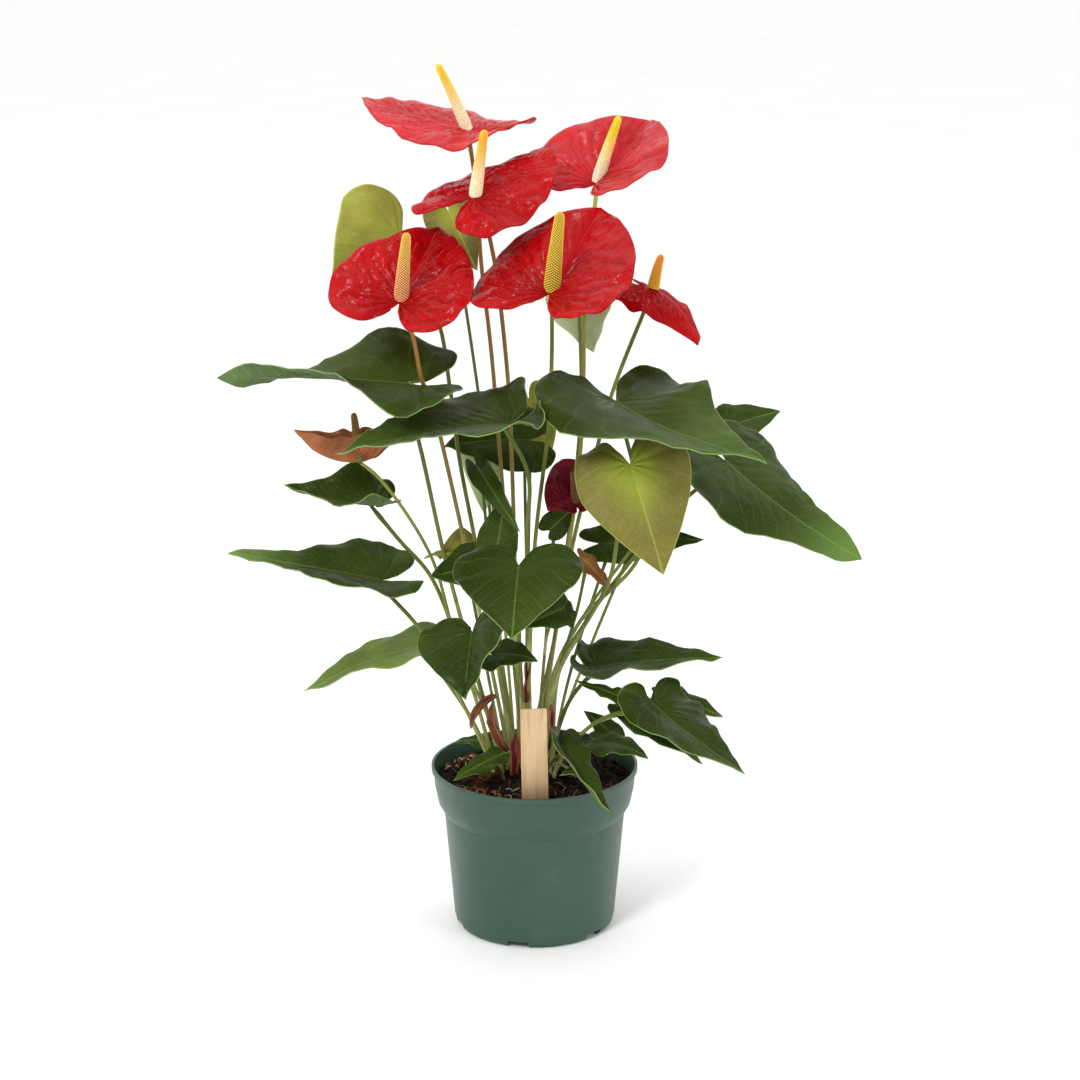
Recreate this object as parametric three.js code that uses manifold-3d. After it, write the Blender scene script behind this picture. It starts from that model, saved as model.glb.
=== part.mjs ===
// A potted anthurium: heart-shaped leaves on long stalks and red blooms, each a spathe with a spadix,
// growing from one crown in a green plastic nursery pot with a bare wooden plant label.
// Millimetres, +Z up. The origin is the centre of the pot's underside, and -Y is the plant's front.
import * as THREE from "three";
import { mergeVertices } from "three/addons/utils/BufferGeometryUtils.js";
import Module from "manifold-3d";

const wasm = await Module();
wasm.setup();

// The pot, as radius and height up its outside. The inside follows it a wall's thickness in.
const POT_HEIGHT = 139;
const POT_WALL = 2.2;
const POT_OUTSIDE = [
  [62.5, 0], [66, 2.5], [67.5, 8], [75.5, 99], [80.5, 108], [83.5, 123], [84, 134.5], [86, 135],
  [86, POT_HEIGHT],
];
const POT_INSIDE = [3, 4, 5, 8]; // the places up the outside that the inside follows
const FOOT_RING_INSIDE = 57;
const FLOOR_LIFT = 4.5; // how high the floor's underside is, between the foot ring and the centre pad
const CENTRE_PAD_RADIUS = 14;
const POT_SEGMENTS = 32;
const FOOT_NOTCHES = 6;
const NOTCH_WIDTH = 17;
const NOTCH_REACH = 20; // from inside the foot ring to outside it
const NOTCH_TURN = -12; // degrees from the front to the first notch

// The soil fills the pot to a little under the rim.
const GAP = 0.3; // clearance between pieces that touch
const SMALLEST_DETAIL = 0.12;
const SOIL_TOP = 126;
const SOIL_MOUND = 9; // how much higher the soil is heaped at the crown
const MOUND_SPREAD = 30;
const SOIL_LUMPS = 2.2; // height of the crumbly surface's lumps
const SOIL_RINGS = 4;
const ROOT_DEPTH = 12; // how far each stalk stands in the soil
const HOLE_SLACK = 0.6; // a stalk's hole in the soil, wider than the stalk by this all round

// The wooden label stands in the soil behind the front rim.
const LABEL_SIZE = [21.6, 1.8, 96];
const LABEL_FOOT = [1, -64, 115];
const LABEL_LEAN = 3; // degrees that its top leans to the front
const LABEL_TURN = -1;

// Blades, stalks and spadices.
const BLADE_THICKNESS = 0.9;
const STALK_INSET = 2.2; // how far inside the notch a stalk meets its blade, over the stalk's radius
const STALK_OVERRUN = 3; // how far a stalk is drawn past its blade before it is cut level with it
const STALK_SIDES = 5;
const STALK_EASE = 0.38; // share of a plain stalk's length over which each end eases into its curve
const STRAIGHT_ROOT = 1.6; // how far a stalk rises straight, in root depths
const STALK_STEPS = 6;
const BRANCH_STEPS = 3;
const BRANCH_RISE = 0.8; // how much a side stalk comes up at its blade from below
const SPADIX_SIDES = 9;
const SPADIX_RINGS = 11;
const SPADIX_RELIEF = 0.35; // height of the raised net of florets

// The crown, where every stalk leaves the soil.
const CROWN = { x: -8, y: 14, reach: 40, crowding: 0.7, squash: 0.8, spacing: 7.2, rounds: 60 };

// A stalk leaves the soil steeper than it runs, and lies flatter than it runs where it meets its blade.
const RISE = { sideways: 0.75, lift: 0.4 };
const ARRIVE = { sideways: 1.15, up: 0.8 };

// Half of a heart's outline, from the notch where the stalk joins, round the lobe, to the tip.
// Along the midrib 1 is the tip, and across it 1 is half the blade's width.
const LEAF_OUTLINE = [
  [0.0, 0.02], [-0.13, 0.1], [-0.25, 0.27], [-0.29, 0.5], [-0.22, 0.78], [-0.05, 0.96],
  [0.14, 1.0], [0.36, 0.86], [0.58, 0.6], [0.78, 0.33], [0.92, 0.12], [1.0, 0.0],
];
const TAILED_OUTLINE = [
  [0.0, 0.02], [-0.13, 0.1], [-0.25, 0.27], [-0.29, 0.5], [-0.22, 0.8], [-0.05, 0.97],
  [0.14, 0.98], [0.33, 0.8], [0.5, 0.5], [0.68, 0.3], [0.86, 0.2], [1.0, 0.0],
];
const SPATHE_OUTLINE = [
  [0.0, 0.02], [-0.16, 0.1], [-0.33, 0.27], [-0.4, 0.52], [-0.32, 0.8], [-0.12, 0.97],
  [0.14, 1.0], [0.4, 0.88], [0.64, 0.65], [0.84, 0.36], [0.94, 0.14], [1.0, 0.0],
];

const POT_GREEN = 0x3d6653;
const SOIL_BROWN = 0x2b1a10;
const LABEL_WOOD = 0xc9a679;
const LEAF_GREEN = 0x2f5a2b;
const OLIVE_GREEN = 0x7a8a2e;
const BRONZE = 0x8a4a26;
const SPATHE_RED = 0xc01822;
const YOUNG_RED = 0x6e1420;
const SPADIX_CREAM = 0xf0dca0;
const STALK_BROWN = 0x7d5b33;

const radians = THREE.MathUtils.degToRad;
const vector = (list) => new THREE.Vector3(...list);

function solidOf(geometry) {
  const bare = geometry.clone();
  bare.deleteAttribute("normal");
  bare.deleteAttribute("uv");
  const merged = mergeVertices(bare, 1e-4);
  const corners = merged.index.array;
  const kept = [];
  for (let i = 0; i < corners.length; i += 3) {
    const [a, b, c] = corners.slice(i, i + 3);
    if (a !== b && b !== c && c !== a) kept.push(a, b, c);
  }
  return new wasm.Manifold(
    new wasm.Mesh({
      numProp: 3,
      vertProperties: merged.attributes.position.array,
      triVerts: new Uint32Array(kept),
    }),
  );
}

// Tiny faces where pieces were joined or cut are merged into their neighbours.
function geometryOf(solid) {
  const mesh = mainBody(solid.simplify(SMALLEST_DETAIL)).getMesh();
  const positions = new Float32Array(mesh.numVert * 3);
  for (let i = 0; i < mesh.numVert; i++)
    positions.set(mesh.vertProperties.subarray(i * mesh.numProp, i * mesh.numProp + 3), i * 3);
  return new THREE.BufferGeometry()
    .setAttribute("position", new THREE.BufferAttribute(positions, 3))
    .setIndex(new THREE.BufferAttribute(mesh.triVerts, 1));
}

// A cut can leave a loose scrap, and only the main body is kept.
function mainBody(solid) {
  const bodies = solid.decompose();
  return bodies.reduce((best, body) => (body.volume() > best.volume() ? body : best));
}

// The midrib of a blade: the place s mm along it from the stalk, as distance, height and slope over
// the chord.
function midrib(spec, length, s) {
  const bend = radians(spec.droop);
  const start = bend / 2;
  if (s >= 0) {
    if (Math.abs(bend) < 1e-6) return [s, 0, 0];
    const curvature = bend / length;
    const slope = start - curvature * s;
    return [
      (Math.sin(start) - Math.sin(slope)) / curvature,
      (Math.cos(slope) - Math.cos(start)) / curvature,
      slope,
    ];
  }
  const lift = radians(spec.lobes) / (0.3 * length);
  const slope = start + lift * s;
  if (Math.abs(lift) < 1e-9) return [s * Math.cos(start), s * Math.sin(start), start];
  return [
    (Math.sin(slope) - Math.sin(start)) / lift,
    (Math.cos(start) - Math.cos(slope)) / lift,
    slope,
  ];
}

// A swept blade's midrib also bends sideways: the place at a distance along the chord, and its heading
// there.
function swept(spec, chord, run) {
  const bend = radians(spec.sweep);
  if (Math.abs(bend) < 1e-6) return [run, 0, 0];
  const start = -bend / 2;
  const stretch = Math.abs(start) / Math.sin(Math.abs(start));
  if (run < 0) return [run * Math.cos(start), run * Math.sin(start), start];
  const heading = start + (bend * run) / chord;
  const radius = (chord * stretch) / bend;
  return [
    radius * (Math.sin(heading) - Math.sin(start)),
    radius * (Math.cos(start) - Math.cos(heading)),
    heading,
  ];
}

// One side of a blade's cross-section: an arc that leaves the midrib at the fold and bends by the curl.
function crossArc(fold, curl, halfWidth, t) {
  const start = radians(fold);
  const bend = radians(curl);
  if (Math.abs(bend) < 1e-6) return [t * Math.cos(start), t * Math.sin(start)];
  const end = start + (bend * t) / halfWidth;
  const scale = halfWidth / bend;
  return [scale * (Math.sin(end) - Math.sin(start)), scale * (Math.cos(start) - Math.cos(end))];
}

// Works out where a blade lies in the plant. Its place() carries a flat place on the blade, s mm along
// and t mm across it, into the plant, and its seat is where the stalk meets it.
function bladeSurface(spec) {
  const joint = vector(spec.joint);
  const along = vector(spec.tip).sub(joint);
  const chord = along.length();
  along.normalize();
  const up = vector(spec.face);
  up.addScaledVector(along, -up.dot(along)).normalize();
  const side = new THREE.Vector3().crossVectors(up, along);
  const halfBend = radians(spec.droop) / 2;
  const length = Math.abs(halfBend) < 1e-6 ? chord : (chord * halfBend) / Math.sin(halfBend);
  const halfWidth = spec.width / 2;
  const place = (s, t) => {
    const [run, rise, slope] = midrib(spec, length, s);
    const which = t >= 0 ? 0 : 1;
    const [out, lift] = crossArc(spec.fold[which], spec.curl[which], halfWidth, Math.abs(t));
    const [height, count] = spec.wave;
    const wave = height * (Math.abs(t) / halfWidth) ** 2
      * Math.sin(2 * Math.PI * ((count * s) / length + spec.wave[2 + which]));
    const turn = radians(spec.twist) * Math.max(0, s / length) ** 2;
    const sideways = Math.sign(t) * out;
    const across = sideways * Math.cos(turn) - (lift + wave) * Math.sin(turn);
    const above = sideways * Math.sin(turn) + (lift + wave) * Math.cos(turn);
    const [ahead, aside, heading] = swept(spec, chord, run);
    const forward = -above * Math.sin(slope);
    return joint.clone()
      .addScaledVector(along, ahead + forward * Math.cos(heading) - across * Math.sin(heading))
      .addScaledVector(side, aside + forward * Math.sin(heading) + across * Math.cos(heading))
      .addScaledVector(up, rise + above * Math.cos(slope));
  };
  const inset = STALK_INSET * spec.thick;
  const seat = place(inset, 0);
  const ahead = place(inset + 1, 0).sub(seat).normalize();
  const normal = up.clone().addScaledVector(ahead, -up.dot(ahead)).normalize();
  return { place, length, halfWidth, seat, normal };
}

// A blade as a closed thin solid: a fan of columns from the stalk's joint, in rings out to the outline.
function bladeSolid(spec, outline, thickness) {
  const { place, length, halfWidth } = bladeSurface(spec);
  const { columns, rings } = spec;
  const half = new THREE.SplineCurve(outline.map(([s, t]) => new THREE.Vector2(s, t)));
  const last = 2 * columns;
  const points = [place(0, 0)];
  for (let ring = 1; ring <= rings; ring++) {
    for (let column = 0; column <= last; column++) {
      const edge = half.getPoint(1 - Math.abs(column - columns) / columns);
      const reach = ring / rings;
      const sideOfRib = column < columns ? 1 : -1;
      points.push(place(edge.x * reach * length, sideOfRib * edge.y * reach * halfWidth));
    }
  }
  const at = (ring, column) => 1 + (ring - 1) * (last + 1) + column;
  const faces = [];
  for (let column = 0; column < last; column++) {
    faces.push(0, at(1, column + 1), at(1, column));
    for (let ring = 1; ring < rings; ring++) {
      const [a, b] = [at(ring, column), at(ring, column + 1)];
      const [c, d] = [at(ring + 1, column + 1), at(ring + 1, column)];
      if (column < columns) faces.push(a, b, d, b, c, d);
      else faces.push(a, b, c, a, c, d);
    }
  }
  const sheet = new THREE.BufferGeometry().setFromPoints(points).setIndex(faces);
  sheet.computeVertexNormals();
  const normals = sheet.getAttribute("normal");
  const layers = [0.5, -0.5].flatMap((share) =>
    points.map((point, i) => {
      const normal = new THREE.Vector3().fromBufferAttribute(normals, i);
      return point.clone().addScaledVector(normal, share * thickness);
    }),
  );
  const rim = [0];
  for (let ring = 1; ring <= rings; ring++) rim.push(at(ring, 0));
  for (let column = 1; column <= last; column++) rim.push(at(rings, column));
  for (let ring = rings - 1; ring >= 1; ring--) rim.push(at(ring, last));
  const shell = [...faces];
  const below = points.length;
  for (let i = 0; i < faces.length; i += 3)
    shell.push(faces[i] + below, faces[i + 2] + below, faces[i + 1] + below);
  rim.forEach((a, i) => {
    const b = rim[(i + 1) % rim.length];
    shell.push(a, b, b + below, a, b + below, a + below);
  });
  return solidOf(new THREE.BufferGeometry().setFromPoints(layers).setIndex(shell));
}

// Cuts a stalk off level with its blade, a little way into or short of it.
function cutStalk(stalk, spec, depth) {
  const { seat, normal } = bladeSurface(spec);
  const reach = 4 * STALK_OVERRUN;
  const cutter = new THREE.BoxGeometry(reach, reach, reach);
  cutter.translate(0, 0, reach / 2 + depth);
  cutter.applyQuaternion(new THREE.Quaternion().setFromUnitVectors(new THREE.Vector3(0, 0, 1), normal));
  return mainBody(stalk.subtract(solidOf(cutter.translate(...seat))));
}

// Cuts a spadix off level above its spathe.
function cutSpadix(spadix, spec) {
  const { seat, normal } = bladeSurface(spec);
  return spadix.trimByPlane(normal.toArray(), normal.dot(seat) + BLADE_THICKNESS / 2 + GAP);
}

// The line of a stalk from its foot in the soil to a little past its blade, by way of its via points.
function stalkCurve(stalk) {
  const foot = vector(stalk.foot);
  const rise = vector(stalk.rise).normalize();
  const arrive = vector(stalk.arrive).normalize();
  const joint = vector(stalk.joint).addScaledVector(arrive, STALK_OVERRUN);
  if (stalk.via) {
    const start = foot.clone().addScaledVector(rise, ROOT_DEPTH * STRAIGHT_ROOT);
    const route = [foot, start, ...stalk.via.map(vector).reverse(), joint];
    return new THREE.CatmullRomCurve3(route, false, "centripetal");
  }
  const handle = foot.distanceTo(joint) * STALK_EASE;
  return new THREE.CubicBezierCurve3(
    foot,
    foot.clone().addScaledVector(rise, handle),
    joint.clone().addScaledVector(arrive, -handle),
    joint,
  );
}

// A stalk is a five-sided bar along its curve.
function stalkSolid(stalk, radius, steps = Math.max(STALK_STEPS, 3 * (stalk.via?.length ?? 0))) {
  const section = new THREE.Shape();
  for (let i = 0; i < STALK_SIDES; i++) {
    const angle = (2 * Math.PI * i) / STALK_SIDES;
    const [x, y] = [radius * Math.cos(angle), radius * Math.sin(angle)];
    if (i === 0) section.moveTo(x, y);
    else section.lineTo(x, y);
  }
  const extrudePath = stalkCurve(stalk);
  return solidOf(new THREE.ExtrudeGeometry(section, { extrudePath, steps, bevelEnabled: false }));
}

// A spadix: a tapering finger on a bent axis, its surface raised in a net of florets.
function spadixSolid(spec) {
  const root = bladeSurface(spec).seat;
  const tip = vector(spec.spadixTip);
  const axis = tip.clone().sub(root);
  const middle = root.clone().addScaledVector(axis, 0.5).add(vector(spec.bow));
  const curve = new THREE.QuadraticBezierCurve3(root, middle, tip);
  const frames = curve.computeFrenetFrames(SPADIX_RINGS, false);
  const width = spec.radius;
  const points = [curve.getPointAt(0)];
  for (let ring = 0; ring <= SPADIX_RINGS; ring++) {
    const share = ring / SPADIX_RINGS;
    const rounding = ring === 0 ? 0.72 : ring === SPADIX_RINGS ? 0.5 : 1;
    const radius = width * (1 - 0.52 * share ** 1.3) * rounding;
    const centre = curve.getPointAt(share);
    for (let side = 0; side < SPADIX_SIDES; side++) {
      const angle = (2 * Math.PI * (side + 0.5 * (ring % 2))) / SPADIX_SIDES;
      const raised = radius + SPADIX_RELIEF * ((side + ring) % 2 ? 1 : -1);
      points.push(centre.clone()
        .addScaledVector(frames.normals[ring], raised * Math.cos(angle))
        .addScaledVector(frames.binormals[ring], raised * Math.sin(angle)));
    }
  }
  points.push(tip.clone().addScaledVector(frames.tangents[SPADIX_RINGS], width * 0.22));
  const at = (ring, side) => 1 + ring * SPADIX_SIDES + (side % SPADIX_SIDES);
  const faces = [];
  for (let side = 0; side < SPADIX_SIDES; side++) {
    faces.push(0, at(0, side + 1), at(0, side));
    faces.push(points.length - 1, at(SPADIX_RINGS, side), at(SPADIX_RINGS, side + 1));
    for (let ring = 0; ring < SPADIX_RINGS; ring++) {
      const [a, b] = [at(ring, side), at(ring, side + 1)];
      const [c, d] = [at(ring + 1, side), at(ring + 1, side + 1)];
      if (ring % 2) faces.push(a, b, d, a, d, c);
      else faces.push(a, b, c, b, d, c);
    }
  }
  return solidOf(new THREE.BufferGeometry().setFromPoints(points).setIndex(faces));
}

// The pot: a turned shell with a foot ring, which is notched, and a pad under the middle of its floor.
function potSolid() {
  const floorTop = FLOOR_LIFT + POT_WALL;
  const inside = POT_INSIDE.map((i) => [POT_OUTSIDE[i][0] - POT_WALL, POT_OUTSIDE[i][1]]);
  const corner = [POT_OUTSIDE[2][0] - POT_WALL, floorTop];
  const profile = [
    [0, 0], [CENTRE_PAD_RADIUS, 0], [CENTRE_PAD_RADIUS, FLOOR_LIFT], [FOOT_RING_INSIDE, FLOOR_LIFT],
    [FOOT_RING_INSIDE, 0], ...POT_OUTSIDE, ...inside.reverse(), corner, [0, floorTop],
  ];
  const outline = profile.map(([r, z]) => new THREE.Vector2(r, z));
  let pot = solidOf(new THREE.LatheGeometry(outline, POT_SEGMENTS).rotateX(Math.PI / 2));
  for (let i = 0; i < FOOT_NOTCHES; i++) {
    const notch = new THREE.BoxGeometry(NOTCH_WIDTH, NOTCH_REACH, 2 * FLOOR_LIFT);
    notch.translate(0, -POT_OUTSIDE[0][0], 0);
    notch.rotateZ(radians(NOTCH_TURN + (360 * i) / FOOT_NOTCHES));
    pot = pot.subtract(solidOf(notch));
  }
  return pot;
}

// The height of the soil's lumpy top, which is heaped at the crown.
function soilHeight(x, y) {
  const across = Math.sin(x * 0.31 + 1.7 * Math.sin(y * 0.23));
  const along = Math.sin(y * 0.37 + 1.3 * Math.cos(x * 0.29));
  const heap = Math.exp(-(((x - CROWN.x) / MOUND_SPREAD) ** 2) - ((y - CROWN.y) / MOUND_SPREAD) ** 2);
  return SOIL_TOP + (SOIL_LUMPS * (across + along)) / 2 + SOIL_MOUND * heap;
}

// The soil fills the pot up to its lumpy top.
function soilSolid() {
  const floorTop = FLOOR_LIFT + POT_WALL + GAP;
  const slack = POT_WALL + GAP;
  const wall = POT_OUTSIDE.slice(2, 6).map(([r, z]) => [r - slack, z]);
  wall[0][1] = floorTop;
  const edge = wall[wall.length - 1];
  const rows = [...wall];
  for (let ring = SOIL_RINGS; ring >= 1; ring--) rows.push([(edge[0] * ring) / SOIL_RINGS, null]);
  const points = [];
  rows.forEach(([radius, height]) => {
    for (let i = 0; i < POT_SEGMENTS; i++) {
      const angle = (2 * Math.PI * i) / POT_SEGMENTS;
      const [x, y] = [radius * Math.cos(angle), radius * Math.sin(angle)];
      points.push(new THREE.Vector3(x, y, height ?? soilHeight(x, y)));
    }
  });
  points.push(new THREE.Vector3(0, 0, floorTop), new THREE.Vector3(0, 0, soilHeight(0, 0)));
  const at = (row, i) => row * POT_SEGMENTS + (i % POT_SEGMENTS);
  const faces = [];
  for (let i = 0; i < POT_SEGMENTS; i++) {
    faces.push(points.length - 2, at(0, i + 1), at(0, i));
    faces.push(points.length - 1, at(rows.length - 1, i), at(rows.length - 1, i + 1));
    for (let row = 0; row < rows.length - 1; row++) {
      const [a, b, c, d] = [at(row, i), at(row, i + 1), at(row + 1, i), at(row + 1, i + 1)];
      faces.push(a, b, d, a, d, c);
    }
  }
  return solidOf(new THREE.BufferGeometry().setFromPoints(points).setIndex(faces));
}

// The bare board of the label, or with slack the slot that it stands in.
function labelSolid(slack) {
  const [width, thickness, length] = LABEL_SIZE;
  const board = new THREE.BoxGeometry(width + 2 * slack, thickness + 2 * slack, length + slack);
  board.translate(0, 0, (length - slack) / 2);
  board.rotateY(radians(LABEL_TURN)).rotateX(radians(LABEL_LEAN));
  return solidOf(board.translate(...LABEL_FOOT));
}

// Each blade is written as its joint with the stalk, its tip, its width and the way its glossy side faces.
// Then come the droop along the midrib, the fold and curl across it (left of the tip, then right), the lift
// of the lobes, the twist at the tip, the wave of the edge (height, count, start on each side) and the sweep
// of the midrib to the left. Angles are in degrees. The via points are the stalk's, from the blade down.
const BLADE_HABIT = {
  droop: 35, fold: [14, 14], curl: [-30, -30], lobes: 0, twist: 0, wave: [2.5, 2.2, 0, 0.37], sweep: 0,
};
const FULL = { columns: 8, rings: 3, thick: 2 };
const SMALL = { columns: 6, rings: 2, thick: 1.6 };
const BRANCH = { ...BLADE_HABIT, ...SMALL, droop: 20, thick: 1.2 };
const leaf = (name, joint, tip, width, face, rest = {}) => ({
  ...BLADE_HABIT, ...(rest.small ? SMALL : FULL), name, joint, tip, width, face, ...rest,
});

const LEAVES = [
  leaf("leaf_top_left", [-112, 80, 567], [-166, 50, 525], 110, [0.45, -0.85, 0.3], {
    colour: OLIVE_GREEN, droop: 15, fold: [-60, 5], curl: [0, -15], wave: [4, 2.2, 0, 0.37],
    via: [[-80, 60, 505], [-69, 35, 452], [-61, 6, 400], [-48, -2, 330]],
  }),
  leaf("leaf_top_middle", [-70, 95, 586], [-47, 70, 542], 46, [-0.2, -0.85, 0.5], {
    colour: OLIVE_GREEN, droop: 10, small: true,
  }),
  leaf("leaf_under_bloom", [36, 80, 522], [49, 72, 473], 64, [-0.5, -0.85, -0.1], {
    droop: 10, small: true, via: [[38, 66, 420], [20, 46, 260]],
  }),
  leaf("leaf_upper_left", [-99, -48, 473], [-246, -72, 483], 112, [0.05, -0.36, 0.93], {
    tailed: true, droop: 8, fold: [16, 14], curl: [-6, -6], lobes: 28, twist: 115,
    wave: [8, 1.6, -0.39, 0.15], via: [[-91, -43, 424], [-71, -30, 321]],
  }),
  leaf("leaf_middle_left", [-21, -60, 444], [-151, -115, 433], 104, [0, -0.2, 0.98], {
    droop: 12, fold: [22, 10], curl: [-6, -8], lobes: 105, wave: [4, 2.2, 0.1, 0.4],
    via: [[-5, -50, 401], [-6, -40, 344]],
  }),
  leaf("leaf_broad_right", [65, -40, 457], [177, -135, 432], 140, [0.02, -0.15, 0.98], {
    sweep: 60, droop: 15, fold: [14, 14], curl: [-12, -20], lobes: 30, wave: [8, 1.2, -0.05, 0.45],
    via: [[87, -5, 324], [38, 4, 262], [14, 2, 210]],
  }),
  leaf("leaf_drooping_right", [157, 10, 395], [265, -25, 323], 128, [0.48, -0.3, 0.84], {
    tailed: true, sweep: 25, droop: -4, fold: [14, 0], curl: [-30, -20], twist: 45, wave: [8, 1, 0.3, 0.25],
    via: [[126, 0, 370], [78, 6, 311], [42, 12, 258], [21, 8, 219]],
  }),
  leaf("leaf_behind_right", [162, 92, 405], [208, 105, 416], 44, [0, -0.6, 0.8], {
    droop: 10, small: true, via: [[72, 24, 306], [38, 24, 255], [19, 14, 217]],
  }),
  leaf("leaf_hanging_olive", [75, -75, 414], [101, -100, 332], 92, [0, -0.92, 0.4], {
    colour: OLIVE_GREEN, droop: 26, lobes: -45,
    via: [[67, -55, 356], [60, -45, 311], [37, -42, 266], [21, -32, 232]],
  }),
  leaf("leaf_front_heart", [-12, -85, 335], [-17, -140, 292], 104, [0, -0.5, 0.86], {
    droop: 26, fold: [22, 12], via: [[-12, -50, 300], [-12, -22, 244]],
  }),
  leaf("leaf_front_low_heart", [-49, -80, 278], [-54, -120, 236], 92, [-0.1, -0.6, 0.8], {
    droop: 25, fold: [58, 0], via: [[-50, -58, 262], [-47, -28, 225]],
  }),
  leaf("leaf_dark_upright", [-30, -50, 340], [-23, -25, 377], 34, [0.1, -0.9, 0.4], {
    droop: 10, small: true,
  }),
  leaf("leaf_dark_left", [-36, -45, 323], [-84, -65, 319], 50, [0.1, -0.7, 0.7], {
    droop: 25, fold: [22, 22], curl: [-42, -42], small: true,
  }),
  leaf("leaf_left_long", [-127, -15, 303], [-246, -35, 332], 80, [0.2, -0.05, 1], {
    tailed: true, droop: 0, fold: [8, 32], curl: [-21, -23], lobes: 45, wave: [6, 0.8, 0.15, 0.23],
    via: [[-114, -17, 286], [-89, -20, 256]],
  }),
  leaf("leaf_left_folded", [-129, 5, 360], [-203, -5, 380], 66, [0.25, 0, 1], {
    droop: -20, fold: [18, 50], curl: [0, 0], lobes: 40, wave: [8, 1.2, 0.2, -0.11],
    via: [[-110, 0, 332], [-85, -4, 303], [-62, -7, 243]],
  }),
  leaf("leaf_left_low", [-91, 16, 237], [-189, -14, 206], 54, [-0.25, -0.25, 0.95], {
    droop: 22, fold: [16, 20], curl: [-22, -22],
  }),
  leaf("leaf_small_centre", [-33, -50, 250], [3, -68, 251], 38, [-0.2, -0.35, 0.92], {
    small: true, lobes: 90,
  }),
  leaf("leaf_right_flat", [51, -20, 230], [153, -34, 242], 66, [-0.05, -0.1, 0.99], {
    droop: 8, fold: [20, 12], curl: [-8, -4], lobes: 98, wave: [3, 2.4, 0.2, 0.5],
    via: [[38, -20, 214], [25, -14, 190]],
  }),
  leaf("side_shoot", [98, -50, 206], [168, -98, 166], 82, [0.34, -0.28, 0.9], {
    sweep: 40, droop: 18, fold: [10, 20], curl: [-20, -30], lobes: 110,
    via: [[62, -40, 195], [37, -30, 174]], branches: [
      { fork: 0.55, joint: [108, -15, 201], tip: [155, -28, 190], width: 34, face: [0.1, -0.4, 0.9] },
      { fork: 0.7, joint: [82, -22, 192], tip: [137, -45, 154], width: 38, face: [0.3, -0.5, 0.8] },
      { fork: 0.85, joint: [67, -50, 215], tip: [33, -38, 223], width: 14, face: [0, -0.5, 0.8] },
    ],
  }),
  leaf("front_shoot", [22, -55, 171], [63, -105, 133], 42, [0.34, -0.38, 0.86], {
    sweep: 50, droop: 30, fold: [30, 60], lobes: 60, small: true, branches: [
      { fork: 0.55, joint: [38, -60, 155], tip: [20, -69, 153], width: 11, face: [0, -0.5, 0.8] },
    ],
  }),
  leaf("rim_shoot_right", [54, -10, 161], [94, -28, 154], 36, [0.1, -0.3, 0.95], {
    small: true, droop: 30, branches: [
      { fork: 0.5, joint: [65, 5, 162], tip: [41, 20, 178], width: 20, face: [0, -0.7, 0.7] },
    ],
  }),
  leaf("leaf_rim_left", [-32, -30, 155], [-67, -46, 139], 20, [0, -0.5, 0.9], {
    small: true, droop: 20,
  }),
  leaf("leaf_rim_back", [-38, 33, 146], [-68, 36, 145], 20, [0, -0.5, 0.9], { small: true, droop: 20 }),
  leaf("leaf_dark_inner", [-5, 50, 404], [-75, 42, 400], 66, [0, -0.7, 0.7], {
    small: true, droop: 25, fold: [22, 22], curl: [-42, -42],
  }),
  leaf("leaf_olive_inner", [-4, 88, 429], [14, 74, 385], 42, [0, -0.9, 0.44], {
    small: true, colour: OLIVE_GREEN,
  }),
  leaf("leaf_pale_hanging", [-42, 50, 400], [-42, 40, 344], 38, [0, -0.93, 0.36], {
    small: true, colour: OLIVE_GREEN,
  }),
  leaf("leaf_narrow_arched", [-44, -20, 396], [-11, -48, 352], 20, [-0.3, -0.8, 0.6], {
    small: true, droop: 50, via: [[-31, 4, 260]],
  }),
  leaf("young_pair", [-59, 10, 321], [-60, 20, 338], 32, [0, -0.8, 0.6], {
    small: true, colour: OLIVE_GREEN, via: [[-46, 17, 250]], branches: [
      { fork: 0.8, joint: [-70, 5, 318], tip: [-91, 5, 317], width: 12, face: [0, -0.3, 1] },
    ],
  }),
  leaf("leaf_dark_right", [61, 46, 316], [142, 48, 319], 37, [0, -0.8, 0.6], {
    small: true, droop: 10, fold: [22, 22], curl: [-42, -42],
  }),
  leaf("inner_shoot", [14, 5, 341], [33, 14, 356], 24, [0.1, -0.89, 0.44], {
    small: true, via: [[10, 0, 255]], branches: [
      { fork: 0.6, joint: [23, -10, 281], tip: [32, -20, 260], width: 14, face: [0, -0.9, 0.4] },
      { fork: 0.5, joint: [21, -40, 285], tip: [-10, -57, 275], width: 30, face: [0, -0.8, 0.6] },
    ],
  }),
  leaf("leaf_bronze", [40, -16, 320], [64, -24, 294], 16, [0, -0.7, 0.7], {
    small: true, colour: BRONZE, via: [[35, -8, 275], [20, -18, 225]],
  }),
];

// A bloom's spathe is written as a blade. Its spadix stands on the joint and is written as its tip.
const bloom = (name, joint, tip, width, face, spadixTip, rest = {}) => ({
  ...BLADE_HABIT, ...(rest.small ? SMALL : FULL),
  wave: [2, 2.4, 0.1, 0.5], fold: [16, 16], curl: [-26, -26],
  radius: 5, bow: [0, 0, 0], name, joint, tip, width, face, spadixTip, ...rest,
});

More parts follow.
